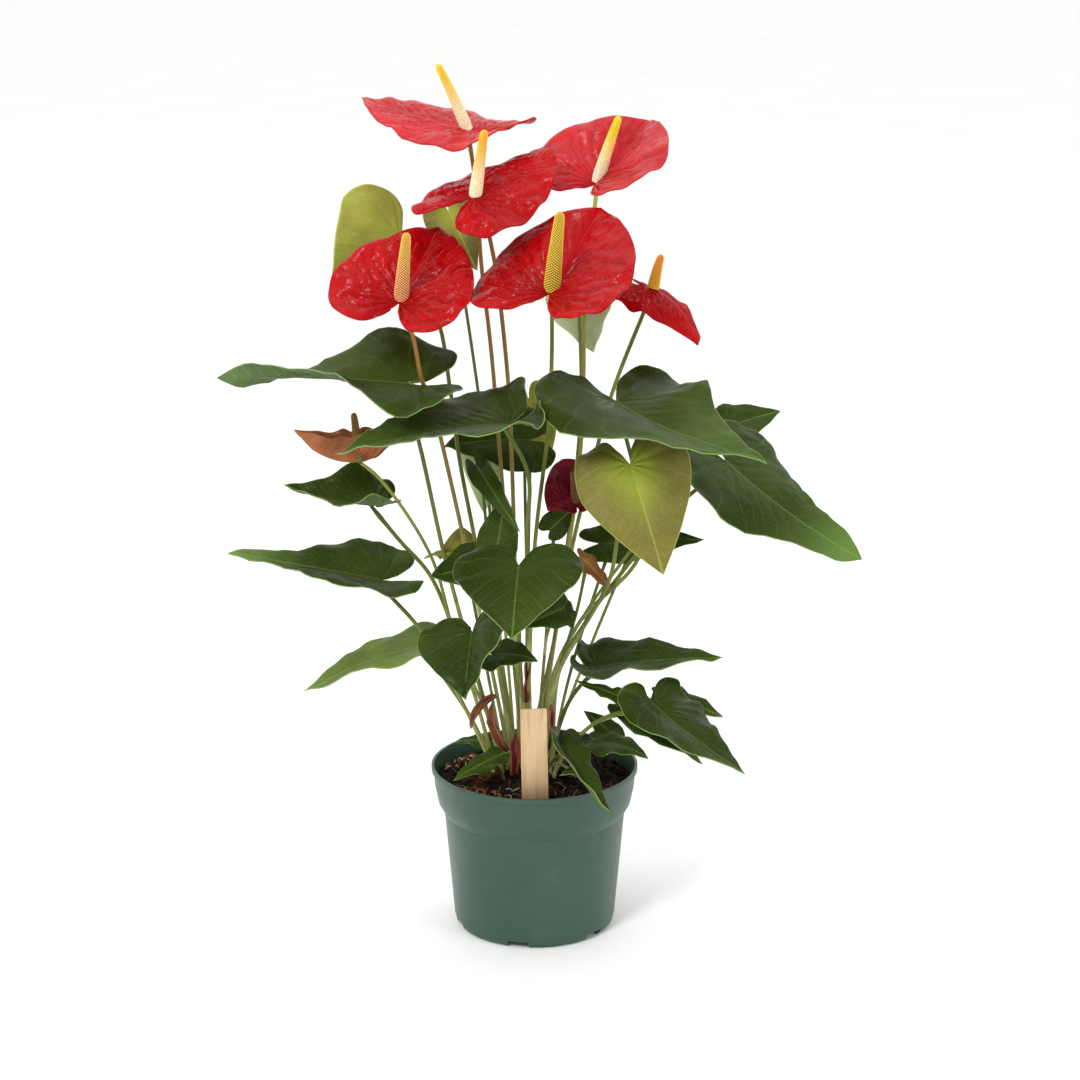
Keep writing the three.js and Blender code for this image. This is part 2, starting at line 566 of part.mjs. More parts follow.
const BLOOMS = [
  bloom("bloom_top_left", [-50, 54, 658], [-142, 114, 677], 98, [0.07, -0.18, 0.98], [-77, 48, 712], {
    droop: -6, fold: [8, 8], curl: [-23, -23], lobes: 25, radius: 4.6,
    via: [[-47, 54, 612], [-43, 44, 553], [-34, 26, 474]],
  }),
  bloom("bloom_top_right", [49, 60, 614], [94, 125, 659], 136, [-0.13, -0.5, 0.86], [68, 52, 670], {
    droop: -6, fold: [30, 38], curl: [-52, -20], lobes: 10,
    via: [[41, 40, 521], [40, 30, 459], [37, 22, 394]],
  }),
  bloom("bloom_centre_left", [-49, -15, 615], [16, 50, 644], 94, [0, -0.42, 0.9], [-38, -36, 670], {
    droop: 0, fold: [-14, -2], curl: [-10, -14], via: [[-35, -10, 582], [-22, -8, 480], [-18, -4, 395]],
  }),
  bloom("bloom_front_centre", [12, -70, 549], [53, 15, 602], 132, [-0.16, -0.47, 0.87], [20, -82, 614], {
    droop: -5, fold: [28, 16], curl: [-60, -8], lobes: 10, radius: 6.3,
    via: [[14, -10, 487], [12, -8, 435], [0, -10, 325]],
  }),
  bloom("bloom_front_left", [-104, -66, 541], [-76, 8, 588], 113, [-0.05, -0.5, 0.86], [-97, -76, 597], {
    droop: -5, fold: [20, 14], curl: [-14, -8], lobes: 0, radius: 5.6,
    via: [[-94, -54, 510], [-88, -52, 477], [-83, -37, 463], [-78, -28, 440], [-56, -12, 330]],
  }),
  bloom("bloom_right", [91, 0, 541], [129, -30, 500], 60, [0.42, -0.31, 0.85], [101, 2, 567], {
    droop: 60, fold: [-10, -10], radius: 4.6,
    via: [[64, 14, 455], [52, 26, 406], [34, 26, 332], [16, 32, 230]],
  }),
  bloom("bloom_young_left", [-136, -30, 406], [-189, -42, 435], 60, [0.5, 0, 0.85], [-144, -22, 444], {
    colour: YOUNG_RED, droop: -70, fold: [62, 40], curl: [0, 0], lobes: 10, radius: 4, small: true,
    via: [[-123, -30, 391], [-84, -25, 327], [-63, -27, 253]],
  }),
  bloom("bloom_young_dark", [34, -14, 365], [23, 10, 398], 56, [0, -0.65, 0.75], [31, -18, 395], {
    colour: YOUNG_RED, fold: [24, 24], curl: [0, 0], lobes: 100, radius: 3.4, small: true,
    via: [[23, -4, 290], [17, 6, 250]],
  }),
  bloom("bloom_bud_right", [130, 52, 389], [138, 72, 408], 24, [-0.36, -0.54, 0.76], null, {
    fold: [40, 40], small: true, via: [[97, 66, 338]],
  }),
];

const shown = [];

function mesh(name, solid, colour, roughness = 0.5) {
  const material = new THREE.MeshStandardMaterial({ color: colour, roughness, metalness: 0 });
  const made = new THREE.Mesh(geometryOf(solid), material);
  made.name = name;
  shown.push(made);
}

// Each stalk's foot lies in the crown on the side that its stalk comes from, the further out the flatter
// the stalk rises, and the feet keep their distance.
function plantStalks(specs) {
  const feet = specs.map((spec) => {
    const lowest = spec.via ? spec.via[spec.via.length - 1] : spec.joint;
    const [x, y] = [lowest[0] - CROWN.x, lowest[1] - CROWN.y];
    const far = Math.hypot(x, y);
    const slope = Math.atan2(lowest[2] - SOIL_TOP, far);
    const reach = CROWN.reach * (1 - slope / (Math.PI / 2)) ** CROWN.crowding;
    return [CROWN.x + (x / far) * reach, CROWN.y + (y / far) * reach * CROWN.squash];
  });
  for (let round = 0; round < CROWN.rounds; round++)
    for (let i = 0; i < feet.length; i++)
      for (let j = i + 1; j < feet.length; j++) {
        const [dx, dy] = [feet[j][0] - feet[i][0], feet[j][1] - feet[i][1]];
        const apart = Math.hypot(dx, dy);
        if (apart >= CROWN.spacing) continue;
        const push = (CROWN.spacing - apart) / 2 / apart;
        feet[i] = [feet[i][0] - dx * push, feet[i][1] - dy * push];
        feet[j] = [feet[j][0] + dx * push, feet[j][1] + dy * push];
      }
  specs.forEach((spec, i) => {
    const foot = [...feet[i], soilHeight(...feet[i]) - ROOT_DEPTH];
    const near = spec.via ? spec.via[spec.via.length - 1] : spec.joint;
    const run = vector(near).sub(vector(foot)).normalize();
    const last = spec.via ? vector(spec.joint).sub(vector(spec.via[0])).normalize() : run;
    spec.stalk = {
      foot,
      joint: bladeSurface(spec).seat.toArray(),
      rise: [run.x * RISE.sideways, run.y * RISE.sideways, run.z + RISE.lift],
      arrive: [last.x * ARRIVE.sideways, last.y * ARRIVE.sideways, last.z * ARRIVE.up],
      via: spec.via,
    };
  });
}

// The stalk of a spec, reaching some way into its blade, with any side blades that branch off it.
function stalkWithBranches(spec, reach) {
  let whole = cutStalk(stalkSolid(spec.stalk, spec.thick), spec, reach);
  const main = stalkCurve(spec.stalk);
  for (const branch of spec.branches ?? []) {
    const blade = { ...BRANCH, ...branch };
    const foot = main.getPointAt(blade.fork).toArray();
    const rise = main.getTangentAt(blade.fork).toArray();
    const { seat, normal } = bladeSurface(blade);
    const arrive = seat.clone().sub(vector(foot)).normalize().addScaledVector(normal, BRANCH_RISE);
    const line = { foot, joint: seat.toArray(), rise, arrive: arrive.toArray() };
    const stalk = stalkSolid(line, blade.thick, BRANCH_STEPS);
    whole = whole.add(cutStalk(stalk, blade, 0)).add(bladeSolid(blade, LEAF_OUTLINE, BLADE_THICKNESS));
  }
  return whole;
}

plantStalks([...LEAVES, ...BLOOMS]);

for (const spec of LEAVES) {
  const blade = bladeSolid(spec, spec.tailed ? TAILED_OUTLINE : LEAF_OUTLINE, BLADE_THICKNESS);
  mesh(spec.name, blade.add(stalkWithBranches(spec, 0)), spec.colour ?? LEAF_GREEN);
}

for (const spec of BLOOMS) {
  const spathe = bladeSolid(spec, SPATHE_OUTLINE, BLADE_THICKNESS);
  const clearance = bladeSolid(spec, SPATHE_OUTLINE, BLADE_THICKNESS + 2 * GAP);
  const stalk = stalkWithBranches(spec, -BLADE_THICKNESS / 2 - GAP).subtract(clearance);
  mesh(spec.name + "_spathe", spathe, spec.colour ?? SPATHE_RED);
  mesh(spec.name + "_stalk", mainBody(stalk), STALK_BROWN);
  if (!spec.spadixTip) continue;
  const spadix = cutSpadix(spadixSolid(spec), spec).subtract(clearance);
  mesh(spec.name + "_spadix", mainBody(spadix), SPADIX_CREAM);
}

let soil = soilSolid().subtract(labelSolid(GAP));
for (const { stalk, thick } of [...LEAVES, ...BLOOMS]) {
  const foot = vector(stalk.foot).addScaledVector(vector(stalk.rise).normalize(), -2 * GAP).toArray();
  soil = soil.subtract(stalkSolid({ ...stalk, foot }, thick + HOLE_SLACK));
}
mesh("pot", potSolid(), POT_GREEN, 0.4);
mesh("soil", mainBody(soil), SOIL_BROWN, 0.95);
mesh("plant_label", labelSolid(0), LABEL_WOOD, 0.7);

const anthurium = new THREE.Group();
anthurium.add(...shown);
export default anthurium;
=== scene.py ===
"""A potted anthurium, dressed over its solids: leaves, red blooms, soil, nursery pot and wooden label.

Metres, +Z up. The origin is the centre of the pot's underside, and -Y is the plant's front.
"""

import itertools
import math
import random

import bmesh
import bpy
from mathutils import Matrix, Quaternion, Vector, geometry, noise


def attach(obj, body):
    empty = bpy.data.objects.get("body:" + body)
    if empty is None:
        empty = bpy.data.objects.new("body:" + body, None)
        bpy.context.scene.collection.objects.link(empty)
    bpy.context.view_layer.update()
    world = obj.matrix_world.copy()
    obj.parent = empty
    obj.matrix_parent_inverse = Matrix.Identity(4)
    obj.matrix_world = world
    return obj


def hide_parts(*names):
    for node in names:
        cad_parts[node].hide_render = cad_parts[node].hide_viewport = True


bl_info = {
    "name": "Potted anthurium",
    "version": (1, 0, 0),
    "blender": (4, 5, 0),
    "location": "View3D > Sidebar > Anthurium",
    "description": "Builds a potted anthurium's leaves, blooms, soil, pot and label over its solids",
    "category": "Object",
}

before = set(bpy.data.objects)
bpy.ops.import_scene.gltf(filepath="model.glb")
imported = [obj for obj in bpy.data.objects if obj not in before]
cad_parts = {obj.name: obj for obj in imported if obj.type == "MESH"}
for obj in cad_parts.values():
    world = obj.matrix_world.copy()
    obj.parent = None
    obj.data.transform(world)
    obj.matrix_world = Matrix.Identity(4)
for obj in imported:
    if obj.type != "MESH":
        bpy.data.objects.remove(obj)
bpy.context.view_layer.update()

# The pot, as radius and height up its outside. The inside follows it a wall's thickness in.
POT_HEIGHT = 0.139
POT_WALL = 0.0022
POT_OUTSIDE = (
    (0.0625, 0.0), (0.066, 0.0025), (0.0675, 0.008), (0.0755, 0.099), (0.0805, 0.108),
    (0.0835, 0.123), (0.084, 0.1345), (0.086, 0.135), (0.086, POT_HEIGHT),
)
POT_INSIDE = (3, 4, 5, 8)  # the places up the outside that the inside follows
FOOT_RING_INSIDE = 0.057
FLOOR_LIFT = 0.0045
CENTRE_PAD_RADIUS = 0.014
FOOT_NOTCHES = 6
NOTCH_WIDTH = 0.017
NOTCH_REACH = 0.020  # how far a notch cuts in and out from the ring
NOTCH_HEIGHT = 0.0058
NOTCH_TURN = math.radians(-12)
MOULD_LINE = 0.0985  # the height of a fine groove below the shoulder
POT_STEPS = 192
POT_EASE = 0.0005
POT_EASE_ANGLE = math.radians(38)  # edges that turn by more than this are rounded
POT_SHARP_ANGLE = math.radians(18)  # and those that still turn by more than this show as edges

# The soil, heaped at the crown, its top in lumps and roughened.
SOIL_TOP = 0.126
SOIL_MOUND = 0.009
MOUND_SPREAD = 0.030
SOIL_LUMPS = 0.0022
SOIL_WAVES = ((310, 1.7, 230), (370, 1.3, 290))  # the lumps' waves: their turns to the metre and their sway
SOIL_SEED = 11
SOIL_GRAIN = 260
SOIL_NOISE = (0.9, 2.1, 4)  # how its grains fade, how much finer each is than the last, and how many sizes
SOIL_ROUGHNESS = 0.0013
SOIL_STEPS = 160
SOIL_RINGS = 44
GAP = 0.0003  # between the soil and the pot
TOUCH = 1e-6  # places nearer than this count as one
ROOT_DEPTH = 0.012

# The label stands in the soil behind the front rim.
LABEL_SIZE = (0.0216, 0.0018, 0.096)
LABEL_FOOT = (0.001, -0.064, 0.115)
LABEL_LEAN = math.radians(3)
LABEL_TURN = math.radians(-1)
LABEL_DAMP = (0.128, 0.142)  # it is darkest at the first height, and dry from the second
LABEL_CORNER = 0.0016
LABEL_EDGE = 0.0003

# Stalks.
STALK_INSET = 2.2  # how far inside the notch a stalk meets its blade, over the stalk's radius
STALK_OVERRUN = 0.003
STALK_SLIM = 0.84  # a stalk's radius over its solid's
STALK_ROUND = 12
STALK_STEPS = 14
STALK_MATERIAL = 3
SHORTEST_STEP = 0.004
FOOT_SWELL = (0.28, 0.02)  # a stalk's foot is this share thicker, and this far up it has mostly thinned
NECK_SLIM = (0.22, 0.003)  # and this share thinner just below its blade
NECK_SWELL = (0.012, 0.006)  # how far below its blade a leaf's stalk swells, and how far the swelling spreads
LEAF_NECK = 0.25
BLOOM_NECK = 0.1
LEAST_LEAN = 0.3  # a stalk's end counts as leaning at least this much from its blade
LEVEL_REACH = 1.5  # and moves at most this many radii to lie level with it
STALK_EASE = 0.38
STRAIGHT_ROOT = 1.6
BRANCH_RISE = 0.8
CROWN_PLACE = (-0.008, 0.014)
CROWN_REACH = 0.040
CROWN_CROWDING = 0.7
CROWN_SQUASH = 0.8
CROWN_SPACING = 0.0072
CROWN_ROUNDS = 60
RISE = (0.75, 0.4)  # a stalk leaves the soil steeper than it runs: sideways share, extra lift
ARRIVE = (1.15, 0.8)  # and lies flatter where it meets its blade: sideways share, upward share

# A blade's side veins: the angle at which they leave the midrib, how they bend to the tip, how widely they
# fan out behind the stalk and how far they wander. Between them the blade is quilted, and its edge ruffled.
BLADE_THICKNESS = 0.0009
LEAF_VEINS = {
    "angle": math.radians(48), "bend": 0.3, "fan": 0.5, "wander": 0.3, "quilt": 0.0004, "ruffle": 0.004,
}
SPATHE_VEINS = {
    "angle": math.radians(32), "bend": 0.4, "fan": 0.3, "wander": 0.9, "quilt": 0.001, "ruffle": 0.003,
    "spacing": 0.013,
}
FLAT_SCALE = 10  # the "flat" map's units to the metre
BROAD_BLADE = 0.11  # as wide as this, a blade has its veins their whole spacing apart
LEAST_SPACING = 0.45  # and on the narrowest they lie this share of it apart
WANDER_GRAIN = 55
QUILT_GRAINS = (120, 260)
RUFFLE_GRAIN = 70
MIDRIB_FADE = 0.006  # this far from the midrib the swelling between the veins is full
EDGE_FADE = 6  # and over one part in this many of the way in from the edge it grows to full
STRAIGHT = 1e-6  # a bend that is less than this counts as none
NET_LINE = 0.1  # the width of a net's lines in a finish, over its cells'
LOBE_LENGTH = 0.3  # the lobes' share of a blade's length
SPATHE_MESH = {"columns": 64, "rings": 34}

# Spadices.
FLORETS_ROUND = 12
FLORET_STEPS = 8
FLORET_HEIGHT = 0.0013
FLORET_FULLNESS = 0.6
SPADIX_TAPER = (0.52, 1.3)  # the share that a spadix thins by, and how late
SPADIX_CROWN = 0.75  # how far its round end reaches, over its radius
SPADIX_SAG = 0.0006
SPADIX_FOOT = 12  # its florets rise to their height over one part in this many of its length

# Each bloom's looks: its spathe's red, its stalk's tint, its spadix from base to tip, and how strongly shade
# is painted into the net between the florets and light onto their tops.
CREAM = (0.97, 0.86, 0.6)
YELLOW = (0.92, 0.66, 0.03)
BLOOM_LOOKS = {
    # The two uppermost spathes take the bright red, a copy of the red with their light painted in.
    "bloom_top_left": ("bright", "brown", CREAM, (0.85, 0.6, 0.05), 0.2),
    "bloom_top_right": ("bright", "golden", CREAM, YELLOW, 0.15),
    "bloom_centre_left": ("red", "brown", CREAM, (0.9, 0.5, 0.05), 0.15),
    "bloom_front_centre": ("red", "green", (0.75, 0.5, 0.01), (0.98, 0.64, 0.015), 1.0),
    "bloom_front_left": ("red", "brown", (1.0, 0.36, 0.18), (1.0, 0.62, 0.08), 0.9),
    "bloom_right": ("red", "green", (1.0, 0.5, 0.01), (0.95, 0.3, 0.005), 0.7),
    "bloom_young_left": ("brown", "green", (0.14, 0.11, 0.03), (0.24, 0.13, 0.03), 0.4),
    "bloom_young_dark": ("young", "green", (0.16, 0.05, 0.03), (0.2, 0.1, 0.04), 0.4),
    "bloom_bud_right": ("red", "green"),
}
# Each red: the colour it comes from, and its flush towards the edge. The bright red is the red with the light
# on the uppermost spathes painted in.
SPATHE_TINTS = {
    "red": ("spathe_red", (0.46, 0.005, 0.006)),
    "bright": ("spathe_lit_red", (0.55, 0.035, 0.04)),
    "young": ("young_red", (0.2, 0.01, 0.02)),
    "brown": ("young_brown", (0.3, 0.1, 0.04)),
}
# The stalks' tints: every foot, a leaf stalk's middle and top, and each kind of bloom stalk's.
STALK_FOOT = (0.5, 0.5, 0.19)
STALK_MIDDLE = (0.13, 0.16, 0.03)
STALK_TOP = (0.1, 0.145, 0.025)
BLOOM_STALKS = {
    "brown": ((0.26, 0.18, 0.05), (0.3, 0.13, 0.035)),
    "green": ((0.15, 0.165, 0.03), (0.2, 0.22, 0.04)),
    "golden": ((0.26, 0.25, 0.04), (0.4, 0.36, 0.07)),
}

# Each kind of leaf: the colour it comes from, the tint round its joint and how much of it, how light its tip
# is, its veins and its slot.
GREEN_VEINS = (0.16, 0.27, 0.06)
GREEN_HEART = (0.045, 0.08, 0.012)
LEAF_TINTS = {
    "green": ("leaf_green", GREEN_HEART, 0.5, 0.25, GREEN_VEINS, "leaf_green"),
    "tipped": ("leaf_green", GREEN_HEART, 0.5, 0.9, GREEN_VEINS, "leaf_green"),
    "fresh": ("leaf_fresh", (0.13, 0.19, 0.04), 0.4, 0.6, (0.25, 0.36, 0.1), "leaf_green"),
    # The pale kind is partly a paler green and partly lightened to paint in light shining through the leaf.
    "pale": ("leaf_pale", (0.36, 0.45, 0.2), 0.5, 0.0, (0.6, 0.68, 0.4), "leaf_green"),
    "lime": ("leaf_lime", (0.34, 0.4, 0.05), 0.6, 0.0, (0.5, 0.52, 0.14), "leaf_olive"),
    "olive": ("leaf_olive", (0.34, 0.42, 0.04), 0.95, 0.0, (0.42, 0.45, 0.09), "leaf_olive"),
    "bronze": ("leaf_bronze", (0.22, 0.13, 0.03), 0.5, 0.0, (0.3, 0.2, 0.06), "leaf_bronze"),
}
UNDERSIDE_TINT = (0.17, 0.27, 0.09)
# Leaves that look younger, paler or lighter at the tip than their kind. The pale leaves' colour also paints
# in light shining through them.
LEAF_LOOKS = {
    "leaf_under_bloom": "pale", "leaf_left_low": "fresh", "leaf_upper_left": "tipped",
    "leaf_left_long": "tipped", "leaf_drooping_right": "tipped", "leaf_pale_hanging": "pale",
    "front_shoot": "tipped", "young_pair": "olive", "leaf_top_left": "lime", "leaf_olive_inner": "lime",
}

# Bits on the soil. The fibres have a middle, spread, share of the count, length, radius and tint.
CRUMBS_REACH = 0.0775
CRUMB_SIZE = (0.0008, 0.0034)
FIBRE_SIDES = 5
FIBRE_STEPS = 6
FIBRE_REST = 0.0006
FIBRE_CURL = (0.0002, 0.0018)
FIBRES = (
    ("straw_bits", (-0.058, 0.026), 0.022, 0.14, 0.007, 0.00045, (0.42, 0.3, 0.15)),
    ("rust_fibre", (-0.044, -0.05), 0.022, 0.5, 0.009, 0.00028, (0.26, 0.09, 0.025)),
    ("dark_fibre", (0.0, 0.0), 0.074, 0.4, 0.014, 0.0003, (0.09, 0.05, 0.03)),
    ("pale_roots", (-0.03, -0.045), 0.02, 0.02, 0.013, 0.0006, (0.36, 0.3, 0.2)),
    ("pale_straws", (0.03, -0.03), 0.04, 0.07, 0.01, 0.00035, (0.26, 0.18, 0.1)),
)

# Dried sheaths at the crown: joint, tip, width, facing and tint.
SHEATH_OUTLINE = ((0.0, 0.3), (0.08, 0.65), (0.2, 0.9), (0.4, 1.0), (0.62, 0.9), (0.82, 0.55), (1.0, 0.0))
SHEATHS = (
    ("sheath_curved", (-0.0307, -0.022, 0.2046), (-0.0528, -0.030, 0.1796), 0.013, (-0.6, -0.5, 0.6),
     (0.26, 0.085, 0.028)),
    ("sheath_left", (-0.0202, -0.022, 0.1594), (-0.0348, -0.024, 0.202), 0.017, (-0.5, -0.8, 0),
     (0.22, 0.075, 0.03)),
    ("sheath_base", (-0.0152, -0.028, 0.1407), (-0.0152, -0.022, 0.173), 0.018, (0, -1, 0.1),
     (0.24, 0.045, 0.03)),
    ("sheath_stem", (-0.007, -0.012, 0.197), (-0.0053, -0.008, 0.2486), 0.012, (0, -1, 0.1),
     (0.26, 0.1, 0.04)),
    ("sheath_right", (0.012, -0.022, 0.1708), (0.0136, -0.024, 0.1994), 0.011, (0.3, -0.9, 0),
     (0.33, 0.08, 0.06)),
)
SHEATH_SPACING = 0.01
SHEATH_HABIT = {
    "outline": SHEATH_OUTLINE, "columns": 10, "rings": 24, "fold": (50, 50), "curl": (40, 40), "droop": 50,
    "wave": (0.001, 3, 0, 0.4),
}

# The camera at the photograph's angle, and the studio's lights: place, aim, size and power.
CAMERA_PLACE = (0.0046, -2.130, 0.931)
CAMERA_DIP = 15.7
CAMERA_LENS = 90.4
SENSOR_WIDTH = 36
FLOOR_TINT = (0.92, 0.92, 0.91)
FLOOR_REACH = 20
ROOM_DEPTH = (-0.6, 0.7, 0.6, 1.08)  # from before the plant to behind it, how bright the room is
ROOM_RISE = (0.2, 0.9, 1.0, 1.4)  # and from its foot to overhead, how many times brighter
LIGHTS = (
    ("key", (-1.4, -2.4, 2.4), (0.0, 0.0, 0.4), 1.0, 66.0),
    ("fill", (2.4, -1.8, 1.2), (0.0, 0.0, 0.3), 1.4, 22.0),
    ("top", (-0.2, 0.1, 2.6), (0.0, 0.0, 0.4), 0.5, 11.0),
)

# Half of a heart's outline, from the notch where the stalk joins, round the lobe, to the tip.
# Along the midrib 1 is the tip, and across it 1 is half the blade's width.
LEAF_OUTLINE = (
    (0.0, 0.02), (-0.13, 0.1), (-0.25, 0.27), (-0.29, 0.5), (-0.22, 0.78), (-0.05, 0.96),
    (0.14, 1.0), (0.36, 0.86), (0.58, 0.6), (0.78, 0.33), (0.92, 0.12), (1.0, 0.0),
)
TAILED_OUTLINE = (
    (0.0, 0.02), (-0.13, 0.1), (-0.25, 0.27), (-0.29, 0.5), (-0.22, 0.8), (-0.05, 0.97),
    (0.14, 0.98), (0.33, 0.8), (0.5, 0.5), (0.68, 0.3), (0.86, 0.2), (1.0, 0.0),
)
SPATHE_OUTLINE = (
    (0.0, 0.02), (-0.16, 0.1), (-0.33, 0.27), (-0.4, 0.52), (-0.32, 0.8), (-0.12, 0.97),
    (0.14, 1.0), (0.4, 0.88), (0.64, 0.65), (0.84, 0.36), (0.94, 0.14), (1.0, 0.0),
)

# How fine a blade's mesh is, as columns to a side and rings out to the edge, and its stalk's radius.
FULL = {"columns": 44, "rings": 28, "thick": 0.002}
SMALL = {"columns": 28, "rings": 16, "thick": 0.0016}
SIDE = {"columns": 16, "rings": 9, "thick": 0.0012}
BLADE_HABIT = {
    "droop": 35, "fold": (14, 14), "curl": (-30, -30), "lobes": 0, "twist": 0,
    "wave": (0.0025, 2.2, 0, 0.37), "sweep": 0, "outline": LEAF_OUTLINE, "via": (), "branches": (),
    "tint": "green",
}


def blade(name, joint, tip, width, face, **rest):
    """A blade: its joint with the stalk, its tip, its width and the way its glossy side faces. Then come the
    droop along the midrib, the fold and curl across it (left of the tip, then right), the lift of the lobes,
    the twist at the tip, the wave of the edge (height, count, start on each side) and the sweep of the midrib
    to the left, in degrees. The via points are the stalk's, from the blade down."""
    size = SMALL if rest.pop("small", False) else FULL
    if rest.pop("tailed", False):
        rest["outline"] = TAILED_OUTLINE
    made = {"name": name, "joint": Vector(joint), "tip": Vector(tip), "width": width, "face": Vector(face)}
    return {**BLADE_HABIT, **size, **made, **rest}


def branch(fork, *places):
    """A side blade, whose stalk leaves the main one at the fork, as a share of the main stalk's length."""
    return {**blade("side", *places), **SIDE, "droop": 20, "fork": fork}


def bloom(*places, **rest):
    """A bloom: its spathe as a blade, with the tip and the radius of its spadix."""
    habit = {
        "wave": (0.002, 2.4, 0.1, 0.5), "fold": (16, 16), "curl": (-26, -26), "radius": 0.005,
        "outline": SPATHE_OUTLINE, "tint": "red",
    }
    return blade(*places, **{**habit, **rest})


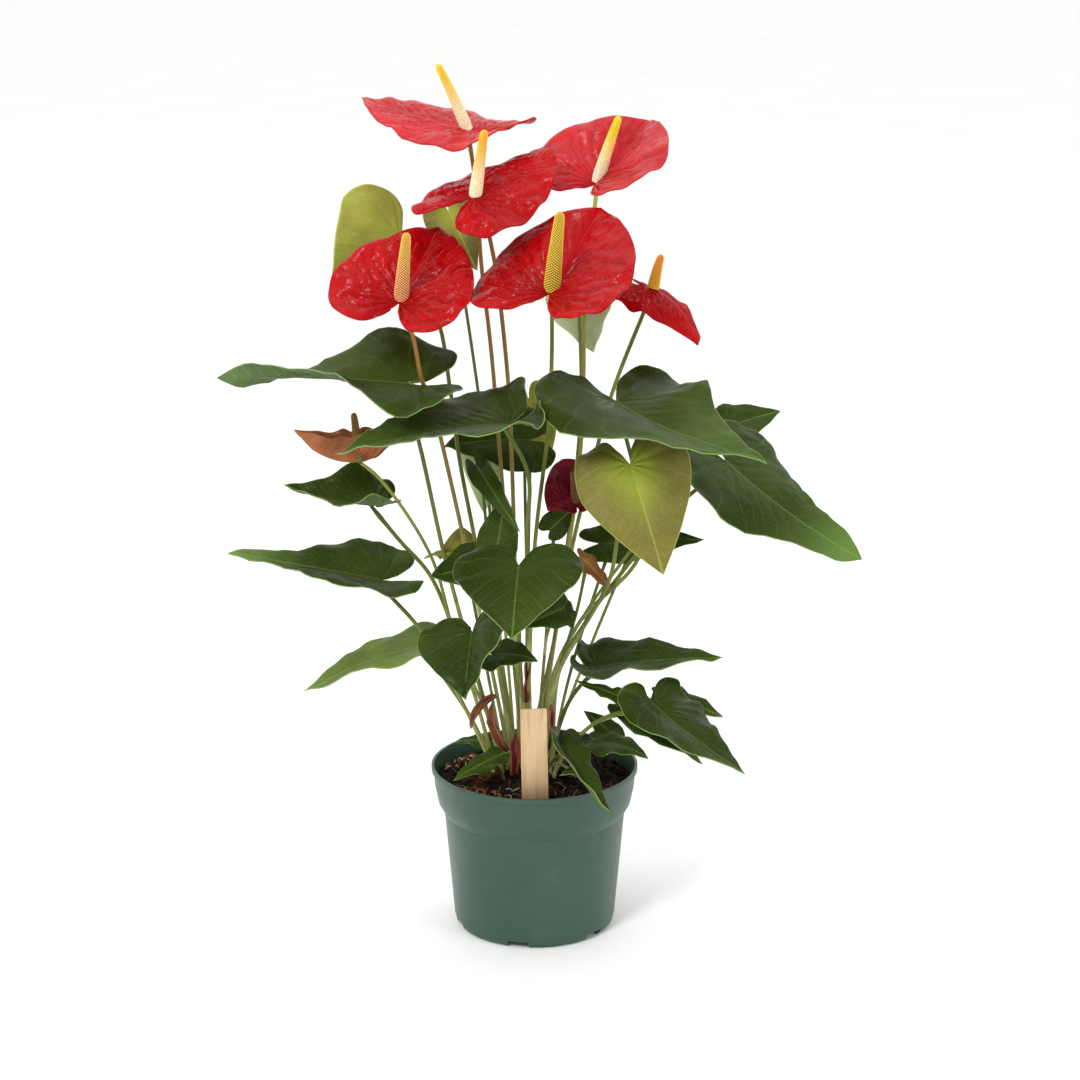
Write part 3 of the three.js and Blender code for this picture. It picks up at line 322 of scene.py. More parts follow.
LEAVES = (
    blade("leaf_top_left", (-0.112, 0.080, 0.567), (-0.166, 0.050, 0.525), 0.110, (0.45, -0.85, 0.3),
          tint="olive", droop=15, fold=(-60, 5), curl=(0, -15), wave=(0.004, 2.2, 0, 0.37),
          via=((-0.080, 0.060, 0.505), (-0.069, 0.035, 0.452), (-0.061, 0.006, 0.400),
               (-0.048, -0.002, 0.330))),
    blade("leaf_top_middle", (-0.070, 0.095, 0.586), (-0.047, 0.070, 0.542), 0.046, (-0.2, -0.85, 0.5),
          tint="olive", droop=10, small=True),
    blade("leaf_under_bloom", (0.036, 0.080, 0.522), (0.049, 0.072, 0.473), 0.064, (-0.5, -0.85, -0.1),
          droop=10, small=True, via=((0.038, 0.066, 0.420), (0.020, 0.046, 0.260))),
    blade("leaf_upper_left", (-0.099, -0.048, 0.473), (-0.246, -0.072, 0.483), 0.112, (0.05, -0.36, 0.93),
          tailed=True, droop=8, fold=(16, 14), curl=(-6, -6), lobes=28, twist=115,
          wave=(0.008, 1.6, -0.39, 0.15), via=((-0.091, -0.043, 0.424), (-0.071, -0.030, 0.321))),
    blade("leaf_middle_left", (-0.021, -0.060, 0.444), (-0.151, -0.115, 0.433), 0.104, (0, -0.2, 0.98),
          droop=12, fold=(22, 10), curl=(-6, -8), lobes=105, wave=(0.004, 2.2, 0.1, 0.4),
          via=((-0.005, -0.050, 0.401), (-0.006, -0.040, 0.344))),
    blade("leaf_broad_right", (0.065, -0.040, 0.457), (0.177, -0.135, 0.432), 0.140, (0.02, -0.15, 0.98),
          sweep=60, droop=15, fold=(14, 14), curl=(-12, -20), lobes=30, wave=(0.008, 1.2, -0.05, 0.45),
          via=((0.087, -0.005, 0.324), (0.038, 0.004, 0.262), (0.014, 0.002, 0.210))),
    blade("leaf_drooping_right", (0.157, 0.010, 0.395), (0.265, -0.025, 0.323), 0.128, (0.48, -0.3, 0.84),
          tailed=True, sweep=25, droop=-4, fold=(14, 0), curl=(-30, -20), twist=45,
          wave=(0.008, 1, 0.3, 0.25),
          via=((0.126, 0.000, 0.370), (0.078, 0.006, 0.311), (0.042, 0.012, 0.258), (0.021, 0.008, 0.219))),
    blade("leaf_behind_right", (0.162, 0.092, 0.405), (0.208, 0.105, 0.416), 0.044, (0, -0.6, 0.8),
          droop=10, small=True, via=((0.072, 0.024, 0.306), (0.038, 0.024, 0.255), (0.019, 0.014, 0.217))),
    blade("leaf_hanging_olive", (0.075, -0.075, 0.414), (0.101, -0.100, 0.332), 0.092, (0, -0.92, 0.4),
          tint="olive", droop=26, lobes=-45,
          via=((0.067, -0.055, 0.356), (0.060, -0.045, 0.311), (0.037, -0.042, 0.266),
               (0.021, -0.032, 0.232))),
    blade("leaf_front_heart", (-0.012, -0.085, 0.335), (-0.017, -0.140, 0.292), 0.104, (0, -0.5, 0.86),
          droop=26, fold=(22, 12), via=((-0.012, -0.050, 0.300), (-0.012, -0.022, 0.244))),
    blade("leaf_front_low_heart", (-0.049, -0.080, 0.278), (-0.054, -0.120, 0.236), 0.092, (-0.1, -0.6, 0.8),
          droop=25, fold=(58, 0), via=((-0.050, -0.058, 0.262), (-0.047, -0.028, 0.225))),
    blade("leaf_dark_upright", (-0.030, -0.050, 0.340), (-0.023, -0.025, 0.377), 0.034, (0.1, -0.9, 0.4),
          droop=10, small=True),
    blade("leaf_dark_left", (-0.036, -0.045, 0.323), (-0.084, -0.065, 0.319), 0.050, (0.1, -0.7, 0.7),
          small=True, droop=25, fold=(22, 22), curl=(-42, -42)),
    blade("leaf_left_long", (-0.127, -0.015, 0.303), (-0.246, -0.035, 0.332), 0.080, (0.2, -0.05, 1),
          tailed=True, droop=0, fold=(8, 32), curl=(-21, -23), lobes=45, wave=(0.006, 0.8, 0.15, 0.23),
          via=((-0.114, -0.017, 0.286), (-0.089, -0.020, 0.256))),
    blade("leaf_left_folded", (-0.129, 0.005, 0.360), (-0.203, -0.005, 0.380), 0.066, (0.25, 0, 1),
          droop=-20, fold=(18, 50), curl=(0, 0), lobes=40, wave=(0.008, 1.2, 0.2, -0.11),
          via=((-0.110, 0.000, 0.332), (-0.085, -0.004, 0.303), (-0.062, -0.007, 0.243))),
    blade("leaf_left_low", (-0.091, 0.016, 0.237), (-0.189, -0.014, 0.206), 0.054, (-0.25, -0.25, 0.95),
          droop=22, fold=(16, 20), curl=(-22, -22)),
    blade("leaf_small_centre", (-0.033, -0.050, 0.250), (0.003, -0.068, 0.251), 0.038, (-0.2, -0.35, 0.92),
          small=True, lobes=90),
    blade("leaf_right_flat", (0.051, -0.020, 0.230), (0.153, -0.034, 0.242), 0.066, (-0.05, -0.1, 0.99),
          droop=8, fold=(20, 12), curl=(-8, -4), lobes=98, wave=(0.003, 2.4, 0.2, 0.5),
          via=((0.038, -0.020, 0.214), (0.025, -0.014, 0.190))),
    blade("side_shoot", (0.098, -0.050, 0.206), (0.168, -0.098, 0.166), 0.082, (0.34, -0.28, 0.9),
          sweep=40, droop=18, fold=(10, 20), curl=(-20, -30), lobes=110,
          via=((0.062, -0.040, 0.195), (0.037, -0.030, 0.174)),
          branches=(
              branch(0.55, (0.108, -0.015, 0.201), (0.155, -0.028, 0.190), 0.034, (0.1, -0.4, 0.9)),
              branch(0.7, (0.082, -0.022, 0.192), (0.137, -0.045, 0.154), 0.038, (0.3, -0.5, 0.8)),
              branch(0.85, (0.067, -0.050, 0.215), (0.033, -0.038, 0.223), 0.014, (0, -0.5, 0.8)),
          )),
    blade("front_shoot", (0.022, -0.055, 0.171), (0.063, -0.105, 0.133), 0.042, (0.34, -0.38, 0.86),
          sweep=50, droop=30, fold=(30, 60), lobes=60, small=True,
          branches=(
              branch(0.55, (0.038, -0.060, 0.155), (0.020, -0.069, 0.153), 0.011, (0, -0.5, 0.8)),
          )),
    blade("rim_shoot_right", (0.054, -0.010, 0.161), (0.094, -0.028, 0.154), 0.036, (0.1, -0.3, 0.95),
          small=True, droop=30,
          branches=(
              branch(0.5, (0.065, 0.005, 0.162), (0.041, 0.020, 0.178), 0.020, (0, -0.7, 0.7)),
          )),
    blade("leaf_rim_left", (-0.032, -0.030, 0.155), (-0.067, -0.046, 0.139), 0.020, (0, -0.5, 0.9),
          small=True, droop=20),
    blade("leaf_rim_back", (-0.038, 0.033, 0.146), (-0.068, 0.036, 0.145), 0.020, (0, -0.5, 0.9),
          small=True, droop=20),
    blade("leaf_dark_inner", (-0.005, 0.050, 0.404), (-0.075, 0.042, 0.400), 0.066, (0, -0.7, 0.7),
          small=True, droop=25, fold=(22, 22), curl=(-42, -42)),
    blade("leaf_olive_inner", (-0.004, 0.088, 0.429), (0.014, 0.074, 0.385), 0.042, (0, -0.9, 0.44),
          small=True, tint="olive"),
    blade("leaf_pale_hanging", (-0.042, 0.050, 0.400), (-0.042, 0.040, 0.344), 0.038, (0, -0.93, 0.36),
          small=True, tint="olive"),
    blade("leaf_narrow_arched", (-0.044, -0.020, 0.396), (-0.011, -0.048, 0.352), 0.020, (-0.3, -0.8, 0.6),
          small=True, droop=50, via=((-0.031, 0.004, 0.260),)),
    blade("young_pair", (-0.059, 0.010, 0.321), (-0.060, 0.020, 0.338), 0.032, (0, -0.8, 0.6),
          small=True, tint="olive", via=((-0.046, 0.017, 0.250),),
          branches=(
              branch(0.8, (-0.070, 0.005, 0.318), (-0.091, 0.005, 0.317), 0.012, (0, -0.3, 1)),
          )),
    blade("leaf_dark_right", (0.061, 0.046, 0.316), (0.142, 0.048, 0.319), 0.037, (0, -0.8, 0.6),
          small=True, droop=10, fold=(22, 22), curl=(-42, -42)),
    blade("inner_shoot", (0.014, 0.005, 0.341), (0.033, 0.014, 0.356), 0.024, (0.1, -0.89, 0.44),
          small=True, via=((0.010, 0.000, 0.255),),
          branches=(
              branch(0.6, (0.023, -0.010, 0.281), (0.032, -0.020, 0.260), 0.014, (0, -0.9, 0.4)),
              branch(0.5, (0.021, -0.040, 0.285), (-0.010, -0.057, 0.275), 0.030, (0, -0.8, 0.6)),
          )),
    blade("leaf_bronze", (0.040, -0.016, 0.320), (0.064, -0.024, 0.294), 0.016, (0, -0.7, 0.7),
          small=True, tint="bronze", via=((0.035, -0.008, 0.275), (0.020, -0.018, 0.225))),
)

BLOOMS = (
    bloom("bloom_top_left", (-0.050, 0.054, 0.658), (-0.142, 0.114, 0.677), 0.098, (0.07, -0.18, 0.98),
          spadix_tip=(-0.077, 0.048, 0.712), droop=-6, fold=(8, 8), curl=(-23, -23), lobes=25,
          radius=0.0046, via=((-0.047, 0.054, 0.612), (-0.043, 0.044, 0.553), (-0.034, 0.026, 0.474))),
    bloom("bloom_top_right", (0.049, 0.060, 0.614), (0.094, 0.125, 0.659), 0.136, (-0.13, -0.5, 0.86),
          spadix_tip=(0.068, 0.052, 0.670), droop=-6, fold=(30, 38), curl=(-52, -20), lobes=10,
          via=((0.041, 0.040, 0.521), (0.040, 0.030, 0.459), (0.037, 0.022, 0.394))),
    bloom("bloom_centre_left", (-0.049, -0.015, 0.615), (0.016, 0.050, 0.644), 0.094, (0, -0.42, 0.9),
          spadix_tip=(-0.038, -0.036, 0.670), droop=0, fold=(-14, -2), curl=(-10, -14),
          via=((-0.035, -0.010, 0.582), (-0.022, -0.008, 0.480), (-0.018, -0.004, 0.395))),
    bloom("bloom_front_centre", (0.012, -0.070, 0.549), (0.053, 0.015, 0.602), 0.132, (-0.16, -0.47, 0.87),
          spadix_tip=(0.020, -0.082, 0.614), droop=-5, fold=(28, 16), curl=(-60, -8), lobes=10,
          radius=0.0063, via=((0.014, -0.010, 0.487), (0.012, -0.008, 0.435), (0.000, -0.010, 0.325))),
    bloom("bloom_front_left", (-0.104, -0.066, 0.541), (-0.076, 0.008, 0.588), 0.113, (-0.05, -0.5, 0.86),
          spadix_tip=(-0.097, -0.076, 0.597), droop=-5, fold=(20, 14), curl=(-14, -8), lobes=0,
          radius=0.0056,
          via=((-0.094, -0.054, 0.510), (-0.088, -0.052, 0.477), (-0.083, -0.037, 0.463),
               (-0.078, -0.028, 0.440), (-0.056, -0.012, 0.330))),
    bloom("bloom_right", (0.091, 0.000, 0.541), (0.129, -0.030, 0.500), 0.060, (0.42, -0.31, 0.85),
          spadix_tip=(0.101, 0.002, 0.567), droop=60, fold=(-10, -10), radius=0.0046,
          via=((0.064, 0.014, 0.455), (0.052, 0.026, 0.406), (0.034, 0.026, 0.332), (0.016, 0.032, 0.230))),
    bloom("bloom_young_left", (-0.136, -0.030, 0.406), (-0.189, -0.042, 0.435), 0.060, (0.5, 0, 0.85),
          spadix_tip=(-0.144, -0.022, 0.444), tint="young", droop=-70, fold=(62, 40), curl=(0, 0),
          lobes=10, radius=0.004, small=True,
          via=((-0.123, -0.030, 0.391), (-0.084, -0.025, 0.327), (-0.063, -0.027, 0.253))),
    bloom("bloom_young_dark", (0.034, -0.014, 0.365), (0.023, 0.010, 0.398), 0.056, (0, -0.65, 0.75),
          spadix_tip=(0.031, -0.018, 0.395), tint="young", fold=(24, 24), curl=(0, 0), lobes=100,
          radius=0.0034, small=True, via=((0.023, -0.004, 0.290), (0.017, 0.006, 0.250))),
    bloom("bloom_bud_right", (0.130, 0.052, 0.389), (0.138, 0.072, 0.408), 0.024, (-0.36, -0.54, 0.76),
          spadix_tip=None, fold=(40, 40), small=True, via=((0.097, 0.066, 0.338),)),
)


def heart_edge(outline, share):
    """The place on half an outline at a share of the way from the notch to the tip, on a smooth line."""
    last = len(outline) - 1
    spot = share * last
    first = min(int(spot), last - 1)
    weight = spot - first
    a, b, c, d = (Vector(outline[min(max(first + step, 0), last)]) for step in (-1, 0, 1, 2))
    start, end = (c - a) / 2, (d - b) / 2
    cube = 2 * b - 2 * c + start + end
    square = -3 * b + 3 * c - 2 * start - end
    return ((cube * weight + square) * weight + start) * weight + b


def midrib(spec, length, s):
    """The midrib s along from the stalk, as distance, height and slope over the chord."""
    bend = math.radians(spec["droop"])
    start = bend / 2
    if s >= 0:
        if abs(bend) < STRAIGHT:
            return s, 0.0, 0.0
        curvature = bend / length
        slope = start - curvature * s
        run = (math.sin(start) - math.sin(slope)) / curvature
        return run, (math.cos(slope) - math.cos(start)) / curvature, slope
    lift = math.radians(spec["lobes"]) / (LOBE_LENGTH * length)
    slope = start + lift * s
    if abs(lift) < STRAIGHT:
        return s * math.cos(start), s * math.sin(start), start
    run = (math.sin(slope) - math.sin(start)) / lift
    return run, (math.cos(start) - math.cos(slope)) / lift, slope


def swept(spec, chord, run):
    """A swept blade's midrib also bends sideways: the place a run along the chord, and its heading."""
    bend = math.radians(spec["sweep"])
    if abs(bend) < STRAIGHT:
        return run, 0.0, 0.0
    start = -bend / 2
    stretch = abs(start) / math.sin(abs(start))
    if run < 0:
        return run * math.cos(start), run * math.sin(start), start
    heading = start + bend * run / chord
    radius = chord * stretch / bend
    ahead = radius * (math.sin(heading) - math.sin(start))
    return ahead, radius * (math.cos(start) - math.cos(heading)), heading


def cross_arc(fold, curl, half_width, t):
    """One side of a blade's section: an arc that leaves the midrib at the fold and bends by the curl."""
    start, bend = math.radians(fold), math.radians(curl)
    if abs(bend) < STRAIGHT:
        return t * math.cos(start), t * math.sin(start)
    end = start + bend * t / half_width
    scale = half_width / bend
    return scale * (math.sin(end) - math.sin(start)), scale * (math.cos(start) - math.cos(end))


class Surface:
    """Where a blade lies in the plant."""

    def __init__(self, spec):
        self.spec = spec
        along = spec["tip"] - spec["joint"]
        self.chord = along.length
        self.along = along.normalized()
        self.up = (spec["face"] - self.along * spec["face"].dot(self.along)).normalized()
        self.side = self.up.cross(self.along)
        half_bend = math.radians(spec["droop"]) / 2
        flat = abs(half_bend) < STRAIGHT
        self.length = self.chord if flat else self.chord * half_bend / math.sin(half_bend)
        self.half_width = spec["width"] / 2
        inset = STALK_INSET * spec["thick"]
        self.seat = self.place(inset, 0)
        ahead = (self.place(inset + 0.001, 0) - self.seat).normalized()
        self.normal = (self.up - ahead * self.up.dot(ahead)).normalized()

    def place(self, s, t):
        """Carries a flat place on the blade, s along and t across it, into the plant."""
        spec = self.spec
        run, rise, slope = midrib(spec, self.length, s)
        which = 0 if t >= 0 else 1
        share = abs(t) / self.half_width
        out, lift = cross_arc(spec["fold"][which], spec["curl"][which], self.half_width, abs(t))
        height, count = spec["wave"][:2]
        phase = count * s / self.length + spec["wave"][2 + which]
        lift += height * share**2 * math.sin(2 * math.pi * phase)
        turn = math.radians(spec["twist"]) * max(0.0, s / self.length) ** 2
        sideways = math.copysign(out, t)
        across = sideways * math.cos(turn) - lift * math.sin(turn)
        above = sideways * math.sin(turn) + lift * math.cos(turn)
        ahead, aside, heading = swept(spec, self.chord, run)
        forward = -above * math.sin(slope)
        return (
            spec["joint"]
            + self.along * (ahead + forward * math.cos(heading) - across * math.sin(heading))
            + self.side * (aside + forward * math.sin(heading) + across * math.cos(heading))
            + self.up * (rise + above * math.cos(slope))
        )


def vein_phase(s, t, half_width, spacing, angle, bend, fan):
    """Counts the side veins at a flat place on a blade. They leave the midrib a spacing apart at an angle and
    bend towards the tip, and behind the stalk's joint they fan out from it."""
    straight = s - bend * t * t / half_width
    along_rib = straight - abs(t) / math.tan(angle)
    if along_rib > 0:
        return along_rib / spacing
    return (angle - math.atan2(abs(t), straight)) / fan


def blade_sheet(spec, surface, veins):
    """A thin sheet: columns fan out from the stalk's joint and rings run out to the edge. The UV map "flat"
    holds the place along and across the blade, and "veins" the count of side veins and the share of the way
    to the edge."""
    sheet = bmesh.new()
    seed = spec["joint"].x * 700
    made = bmesh.ops.create_grid(
        sheet, x_segments=2 * spec["columns"], y_segments=spec["rings"], size=1
    )
    flat_map = sheet.loops.layers.uv.new("flat")
    vein_map = sheet.loops.layers.uv.new("veins")
    spacing = veins["spacing"] * max(LEAST_SPACING, spec["width"] / BROAD_BLADE)
    bulge = {}

    def wave(s, t, grain, shift=0):
        return noise.noise(Vector((s * grain, t * grain, seed + shift)))

    for vert in made["verts"]:
        edge = heart_edge(spec["outline"], 1 - abs(vert.co.x))
        reach = (vert.co.y + 1) / 2
        side = 1 if vert.co.x < 0 else -1
        s = edge.x * reach * surface.length
        t = side * edge.y * reach * surface.half_width
        phase = vein_phase(s, t, surface.half_width, spacing, veins["angle"], veins["bend"], veins["fan"])
        phase += veins["wander"] * wave(s, t, WANDER_GRAIN)
        for loop in vert.link_loops:
            loop[flat_map].uv = (s * FLAT_SCALE, t * FLAT_SCALE)
            loop[vein_map].uv = (phase, reach)
        between = abs(math.sin(math.pi * phase)) ** 0.5
        fade = min(1.0, abs(t) / MIDRIB_FADE) * min(1.0, (1 - reach) * EDGE_FADE)
        quilt = wave(s, t, QUILT_GRAINS[0]) + wave(s, t, QUILT_GRAINS[1]) / 3
        ruffle = veins["ruffle"] * reach**3 * wave(s, t, RUFFLE_GRAIN, 9)
        bulge[vert] = fade * (veins["lift"] * (between - 0.5) + veins["quilt"] * quilt) + ruffle
        vert.co = surface.place(s, t)
    sheet.normal_update()
    for vert, height in bulge.items():
        vert.co += vert.normal * height
    bmesh.ops.remove_doubles(sheet, verts=sheet.verts, dist=TOUCH)
    return sheet


def thickened(sheet, thickness):
    """Gives a sheet its thickness: the upper side keeps material 0, the underside gets 1 and the rim 2."""
    mesh = bpy.data.meshes.new("sheet")
    sheet.to_mesh(mesh)
    sheet.free()
    holder = bpy.data.objects.new("sheet", mesh)
    bpy.context.scene.collection.objects.link(holder)
    for _ in range(3):
        mesh.materials.append(None)
    shell = holder.modifiers.new("thickness", "SOLIDIFY")
    shell.thickness = thickness
    shell.offset = 0
    shell.material_offset = 1
    shell.material_offset_rim = 2
    shape = bpy.data.meshes.new_from_object(holder.evaluated_get(bpy.context.evaluated_depsgraph_get()))
    bpy.data.objects.remove(holder)
    bpy.data.meshes.remove(mesh)
    return shape


def stalk_knots(stalk):
    """The cubic Bezier stretches of a stalk, from its foot to a little past its blade."""
    foot, rise = stalk["foot"], stalk["rise"].normalized()
    arrive = stalk["arrive"].normalized()
    end = stalk["joint"] + arrive * STALK_OVERRUN
    if not stalk["via"]:
        ease = (end - foot).length * STALK_EASE
        return [(foot, foot + rise * ease, end - arrive * ease, end)]
    start = foot + rise * ROOT_DEPTH * STRAIGHT_ROOT
    route = [foot, start, *(Vector(point) for point in reversed(stalk["via"])), end]
    route = [2 * route[0] - route[1], *route, 2 * route[-1] - route[-2]]
    stretches = []
    for a, b, c, d in zip(route, route[1:], route[2:], route[3:]):
        before, across, after = (math.sqrt((q - p).length) for p, q in ((a, b), (b, c), (c, d)))
        leave = (b - a) / before - (c - a) / (before + across) + (c - b) / across
        reach = (c - b) / across - (d - b) / (across + after) + (d - c) / after
        stretches.append((b, b + leave * across / 3, c - reach * across / 3, c))
    return stretches


def stalk_line(stalk):
    """Points along a stalk, from its foot to its seat in the blade."""
    points = []
    for stretch in stalk_knots(stalk):
        reached = geometry.interpolate_bezier(*stretch, STALK_STEPS)
        points += reached[1:] if points else reached
    cut = STALK_OVERRUN
    while len(points) > 2 and (points[-1] - points[-2]).length < cut:
        cut -= (points[-1] - points[-2]).length
        points.pop()
    points[-1] = stalk["joint"]
    return points


def line_length(points):
    """The length of a line of points."""
    return sum((b - a).length for a, b in zip(points, points[1:]))


def along_line(points, share):
    """The point and direction at a share of a line's length."""
    left = share * line_length(points)
    for a, b in zip(points, points[1:]):
        if left <= (b - a).length:
            return a.lerp(b, left / (b - a).length), (b - a).normalized()
        left -= (b - a).length
    return points[-1], (points[-1] - points[-2]).normalized()


def grow_tube(shape, points, radius, sides, material, taper, level=None):
    """A round tube along points, extruded ring by ring and closed at both ends. Its far end may be cut level
    with a blade. Its UV map "flat" holds the share of the way along it and the length along it."""
    flat_map = shape.loops.layers.uv.get("flat") or shape.loops.layers.uv.new("flat")
    total = line_length(points)
    turn = (points[1] - points[0]).to_track_quat("Z", "Y")
    place = Matrix.Translation(points[0]) @ turn.to_matrix().to_4x4()
    ring = bmesh.ops.create_circle(
        shape, cap_ends=True, segments=sides, radius=radius * taper(0.0), matrix=place
    )["verts"]
    skin = list({face for vert in ring for face in vert.link_faces})
    edges = list({edge for vert in ring for edge in vert.link_edges})
    walked = 0.0
    for i in range(1, len(points)):
        step = (points[i] - points[i - 1]).length
        before, walked = walked, walked + step
        onward = points[min(i + 1, len(points) - 1)] - points[i - 1]
        old_turn = turn
        turn = (turn @ Vector((0, 0, 1))).rotation_difference(onward) @ turn
        grown = bmesh.ops.extrude_edge_only(shape, edges=edges)["geom"]
        ring = [item for item in grown if isinstance(item, bmesh.types.BMVert)]
        fresh = set(ring)
        edges = [item for item in grown if isinstance(item, bmesh.types.BMEdge)]
        edges = [edge for edge in edges if fresh.issuperset(edge.verts)]
        faces = [item for item in grown if isinstance(item, bmesh.types.BMFace)]
        for vert in ring:
            spoke = old_turn.inverted() @ (vert.co - points[i - 1])
            spoke.z = 0
            vert.co = points[i] + turn @ (spoke.normalized() * radius * taper(walked))
        for face in faces:
            face.smooth = True
            for loop in face.loops:
                along = walked if loop.vert in fresh else before
                loop[flat_map].uv = (along / total, along * FLAT_SCALE)
        skin += faces
    if level:
        heading = turn @ Vector((0, 0, 1))
        lean = heading.dot(level)
        lean = math.copysign(max(abs(lean), LEAST_LEAN), lean)
        for vert in ring:
            reach = (points[-1] - vert.co).dot(level) / lean
            vert.co += heading * max(-LEVEL_REACH * radius, min(LEVEL_REACH * radius, reach))
    skin += bmesh.ops.contextual_create(shape, geom=edges)["faces"]
    bmesh.ops.recalc_face_normals(shape, faces=skin)
    for face in skin:
        face.material_index = material


def soil_height(x, y):
    """The height of the soil's lumpy top, which is heaped at the crown."""
    (turns, sway, cross_turns), (up_turns, up_sway, side_turns) = SOIL_WAVES
    across = math.sin(x * turns + sway * math.sin(y * cross_turns))
    along = math.sin(y * up_turns + up_sway * math.cos(x * side_turns))
    beside, behind = (x - CROWN_PLACE[0]) / MOUND_SPREAD, (y - CROWN_PLACE[1]) / MOUND_SPREAD
    heap = math.exp(-(beside**2) - behind**2)
    return SOIL_TOP + SOIL_LUMPS * (across + along) / 2 + SOIL_MOUND * heap


def plant_stalks(specs):
    """Gives each blade its stalk. The feet lie in the crown on the side that the stalks come from, and keep
    their distance."""
    centre = Vector(CROWN_PLACE)
    feet = []
    for spec in specs:
        near = Vector(spec["via"][-1]) if spec["via"] else spec["joint"]
        out = near.xy - centre
        slope = math.atan2(near.z - SOIL_TOP, out.length)
        reach = CROWN_REACH * (1 - slope / (math.pi / 2)) ** CROWN_CROWDING
        way = out.normalized() * reach
        feet.append(centre + Vector((way.x, way.y * CROWN_SQUASH)))
    for _ in range(CROWN_ROUNDS):
        for i, j in itertools.combinations(range(len(feet)), 2):
            gap = feet[j] - feet[i]
            if gap.length >= CROWN_SPACING:
                continue
            push = gap * ((CROWN_SPACING - gap.length) / 2 / gap.length)
            feet[i] = feet[i] - push
            feet[j] = feet[j] + push
    for spec, (x, y) in zip(specs, feet):
        foot = Vector((x, y, soil_height(x, y) - ROOT_DEPTH))
        near = Vector(spec["via"][-1]) if spec["via"] else spec["joint"]
        run = (near - foot).normalized()
        last = (spec["joint"] - Vector(spec["via"][0])).normalized() if spec["via"] else run
        spec["stalk"] = {
            "foot": foot,
            "joint": Surface(spec).seat,
            "rise": Vector((run.x * RISE[0], run.y * RISE[0], run.z + RISE[1])),
            "arrive": Vector((last.x * ARRIVE[0], last.y * ARRIVE[0], last.z * ARRIVE[1])),
            "via": spec["via"],
        }


plant_stalks([*LEAVES, *BLOOMS])


def piece(name, shape, finishes, nodes=()):
    """Shows a mesh as a finished piece that rides on the plant and stands for its solids."""
    for finish in finishes:
        shape.materials.append(finish)
    made = bpy.data.objects.new(name, shape)
    bpy.context.scene.collection.objects.link(made)
    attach(made, "root")
    if nodes:
        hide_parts(*nodes)
    return made


def mesh_of(shape, smooth=True):
    """A mesh from a bmesh, which is then freed."""
    mesh = bpy.data.meshes.new("shape")
    shape.to_mesh(mesh)
    shape.free()
    if smooth:
        mesh.shade_smooth()
    else:
        mesh.shade_flat()
    return mesh


class Nodes:
    """A node tree, grown one node at a time. A node's inputs take numbers or other nodes' outputs."""

    def __init__(self, tree):
        self.tree = tree

    def node(self, kind, inputs=None, **settings):
        made = self.tree.nodes.new("ShaderNode" + kind)
        for setting, value in settings.items():
            setattr(made, setting, value)
        for place, value in (inputs or {}).items():
            self.feed(made.inputs[place], value)
        return made

    def feed(self, socket, value):
        if isinstance(value, bpy.types.NodeSocket):
            self.tree.links.new(value, socket)
        else:
            socket.default_value = value

    def math(self, operation, *values):
        return self.node("Math", dict(enumerate(values)), operation=operation).outputs[0]

    def ramp(self, value, low, high, start=0.0, end=1.0, way="SMOOTHSTEP"):
        """Goes from start to end as a value goes from low to high."""
        inputs = {"Value": value, "From Min": low, "From Max": high, "To Min": start, "To Max": end}
        return self.node("MapRange", inputs, interpolation_type=way).outputs["Result"]


class Finish(Nodes):
    """A material whose colour, roughness and bumps are built up from nodes."""

    def __init__(self, name, roughness, **sockets):
        self.material = bpy.data.materials.new(name)
        self.material.use_nodes = True
        super().__init__(self.material.node_tree)
        self.shader = self.tree.nodes["Principled BSDF"]
        self.shader.inputs["Roughness"].default_value = roughness
        for socket, value in sockets.items():
            place = socket.replace("_", " ").title().replace("Ior", "IOR")
            self.shader.inputs[place].default_value = value

    def place(self):
        """The place on the object, in metres."""
        return self.node("TexCoord").outputs["Object"]

    def height(self):
        """The height above the pot's underside."""
        return self.node("SeparateXYZ", {0: self.place()}).outputs[2]

    def map(self, name):
        """The two numbers of a UV map."""
        split = self.node("SeparateXYZ", {0: self.node("UVMap", uv_map=name).outputs[0]})
        return split.outputs[0], split.outputs[1]

    def noise(self, scale, detail=3.0, stretch=None):
        """Noise of so many grains to the metre, or drawn out along one axis."""
        where = self.place()
        if stretch:
            where = self.node("Mapping", {"Vector": where, "Scale": stretch}).outputs[0]
        return self.node("TexNoise", {"Vector": where, "Scale": scale, "Detail": detail}).outputs["Fac"]

    def net(self, scale, strength):
        """A net of thin lines, so many cells to the metre."""
        inputs = {"Vector": self.place(), "Scale": scale}
        cells = self.node("TexVoronoi", inputs, feature="DISTANCE_TO_EDGE")
        return self.ramp(cells.outputs["Distance"], 0.0, NET_LINE, strength, 0.0)

    def veins(self, phase, near, far, strength):
        """The side veins, which lie where their count is whole."""
        return self.ramp(self.math("PINGPONG", phase, 0.5), near, far, strength, 0.0)

    def rib(self, across, near, far, strength):
        """The midrib."""
        return self.ramp(self.math("ABSOLUTE", across), near, far, strength, 0.0)

    def mix(self, share, first, second):
        made = self.node("Mix", data_type="RGBA")
        for socket, value in ((made.inputs[0], share), (made.inputs[6], first), (made.inputs[7], second)):
            self.feed(socket, (*value, 1.0) if isinstance(value, tuple) else value)
        return made.outputs[2]

    def mottled(self, grain, tint, low, high):
        """A tint that goes between two shades of itself with a grain."""
        return self.mix(self.ramp(grain, 0.3, 0.7), scaled(tint, low), scaled(tint, high))

    def bump(self, height, distance, strength=1.0):
        inputs = {"Height": height, "Distance": distance, "Strength": strength}
        self.feed(self.shader.inputs["Normal"], self.node("Bump", inputs).outputs["Normal"])

    def colour(self, value):
        self.feed(self.shader.inputs["Base Color"], value)


def scaled(colour, factor):
    """A colour made lighter or darker."""
    return tuple(channel * factor for channel in colour)


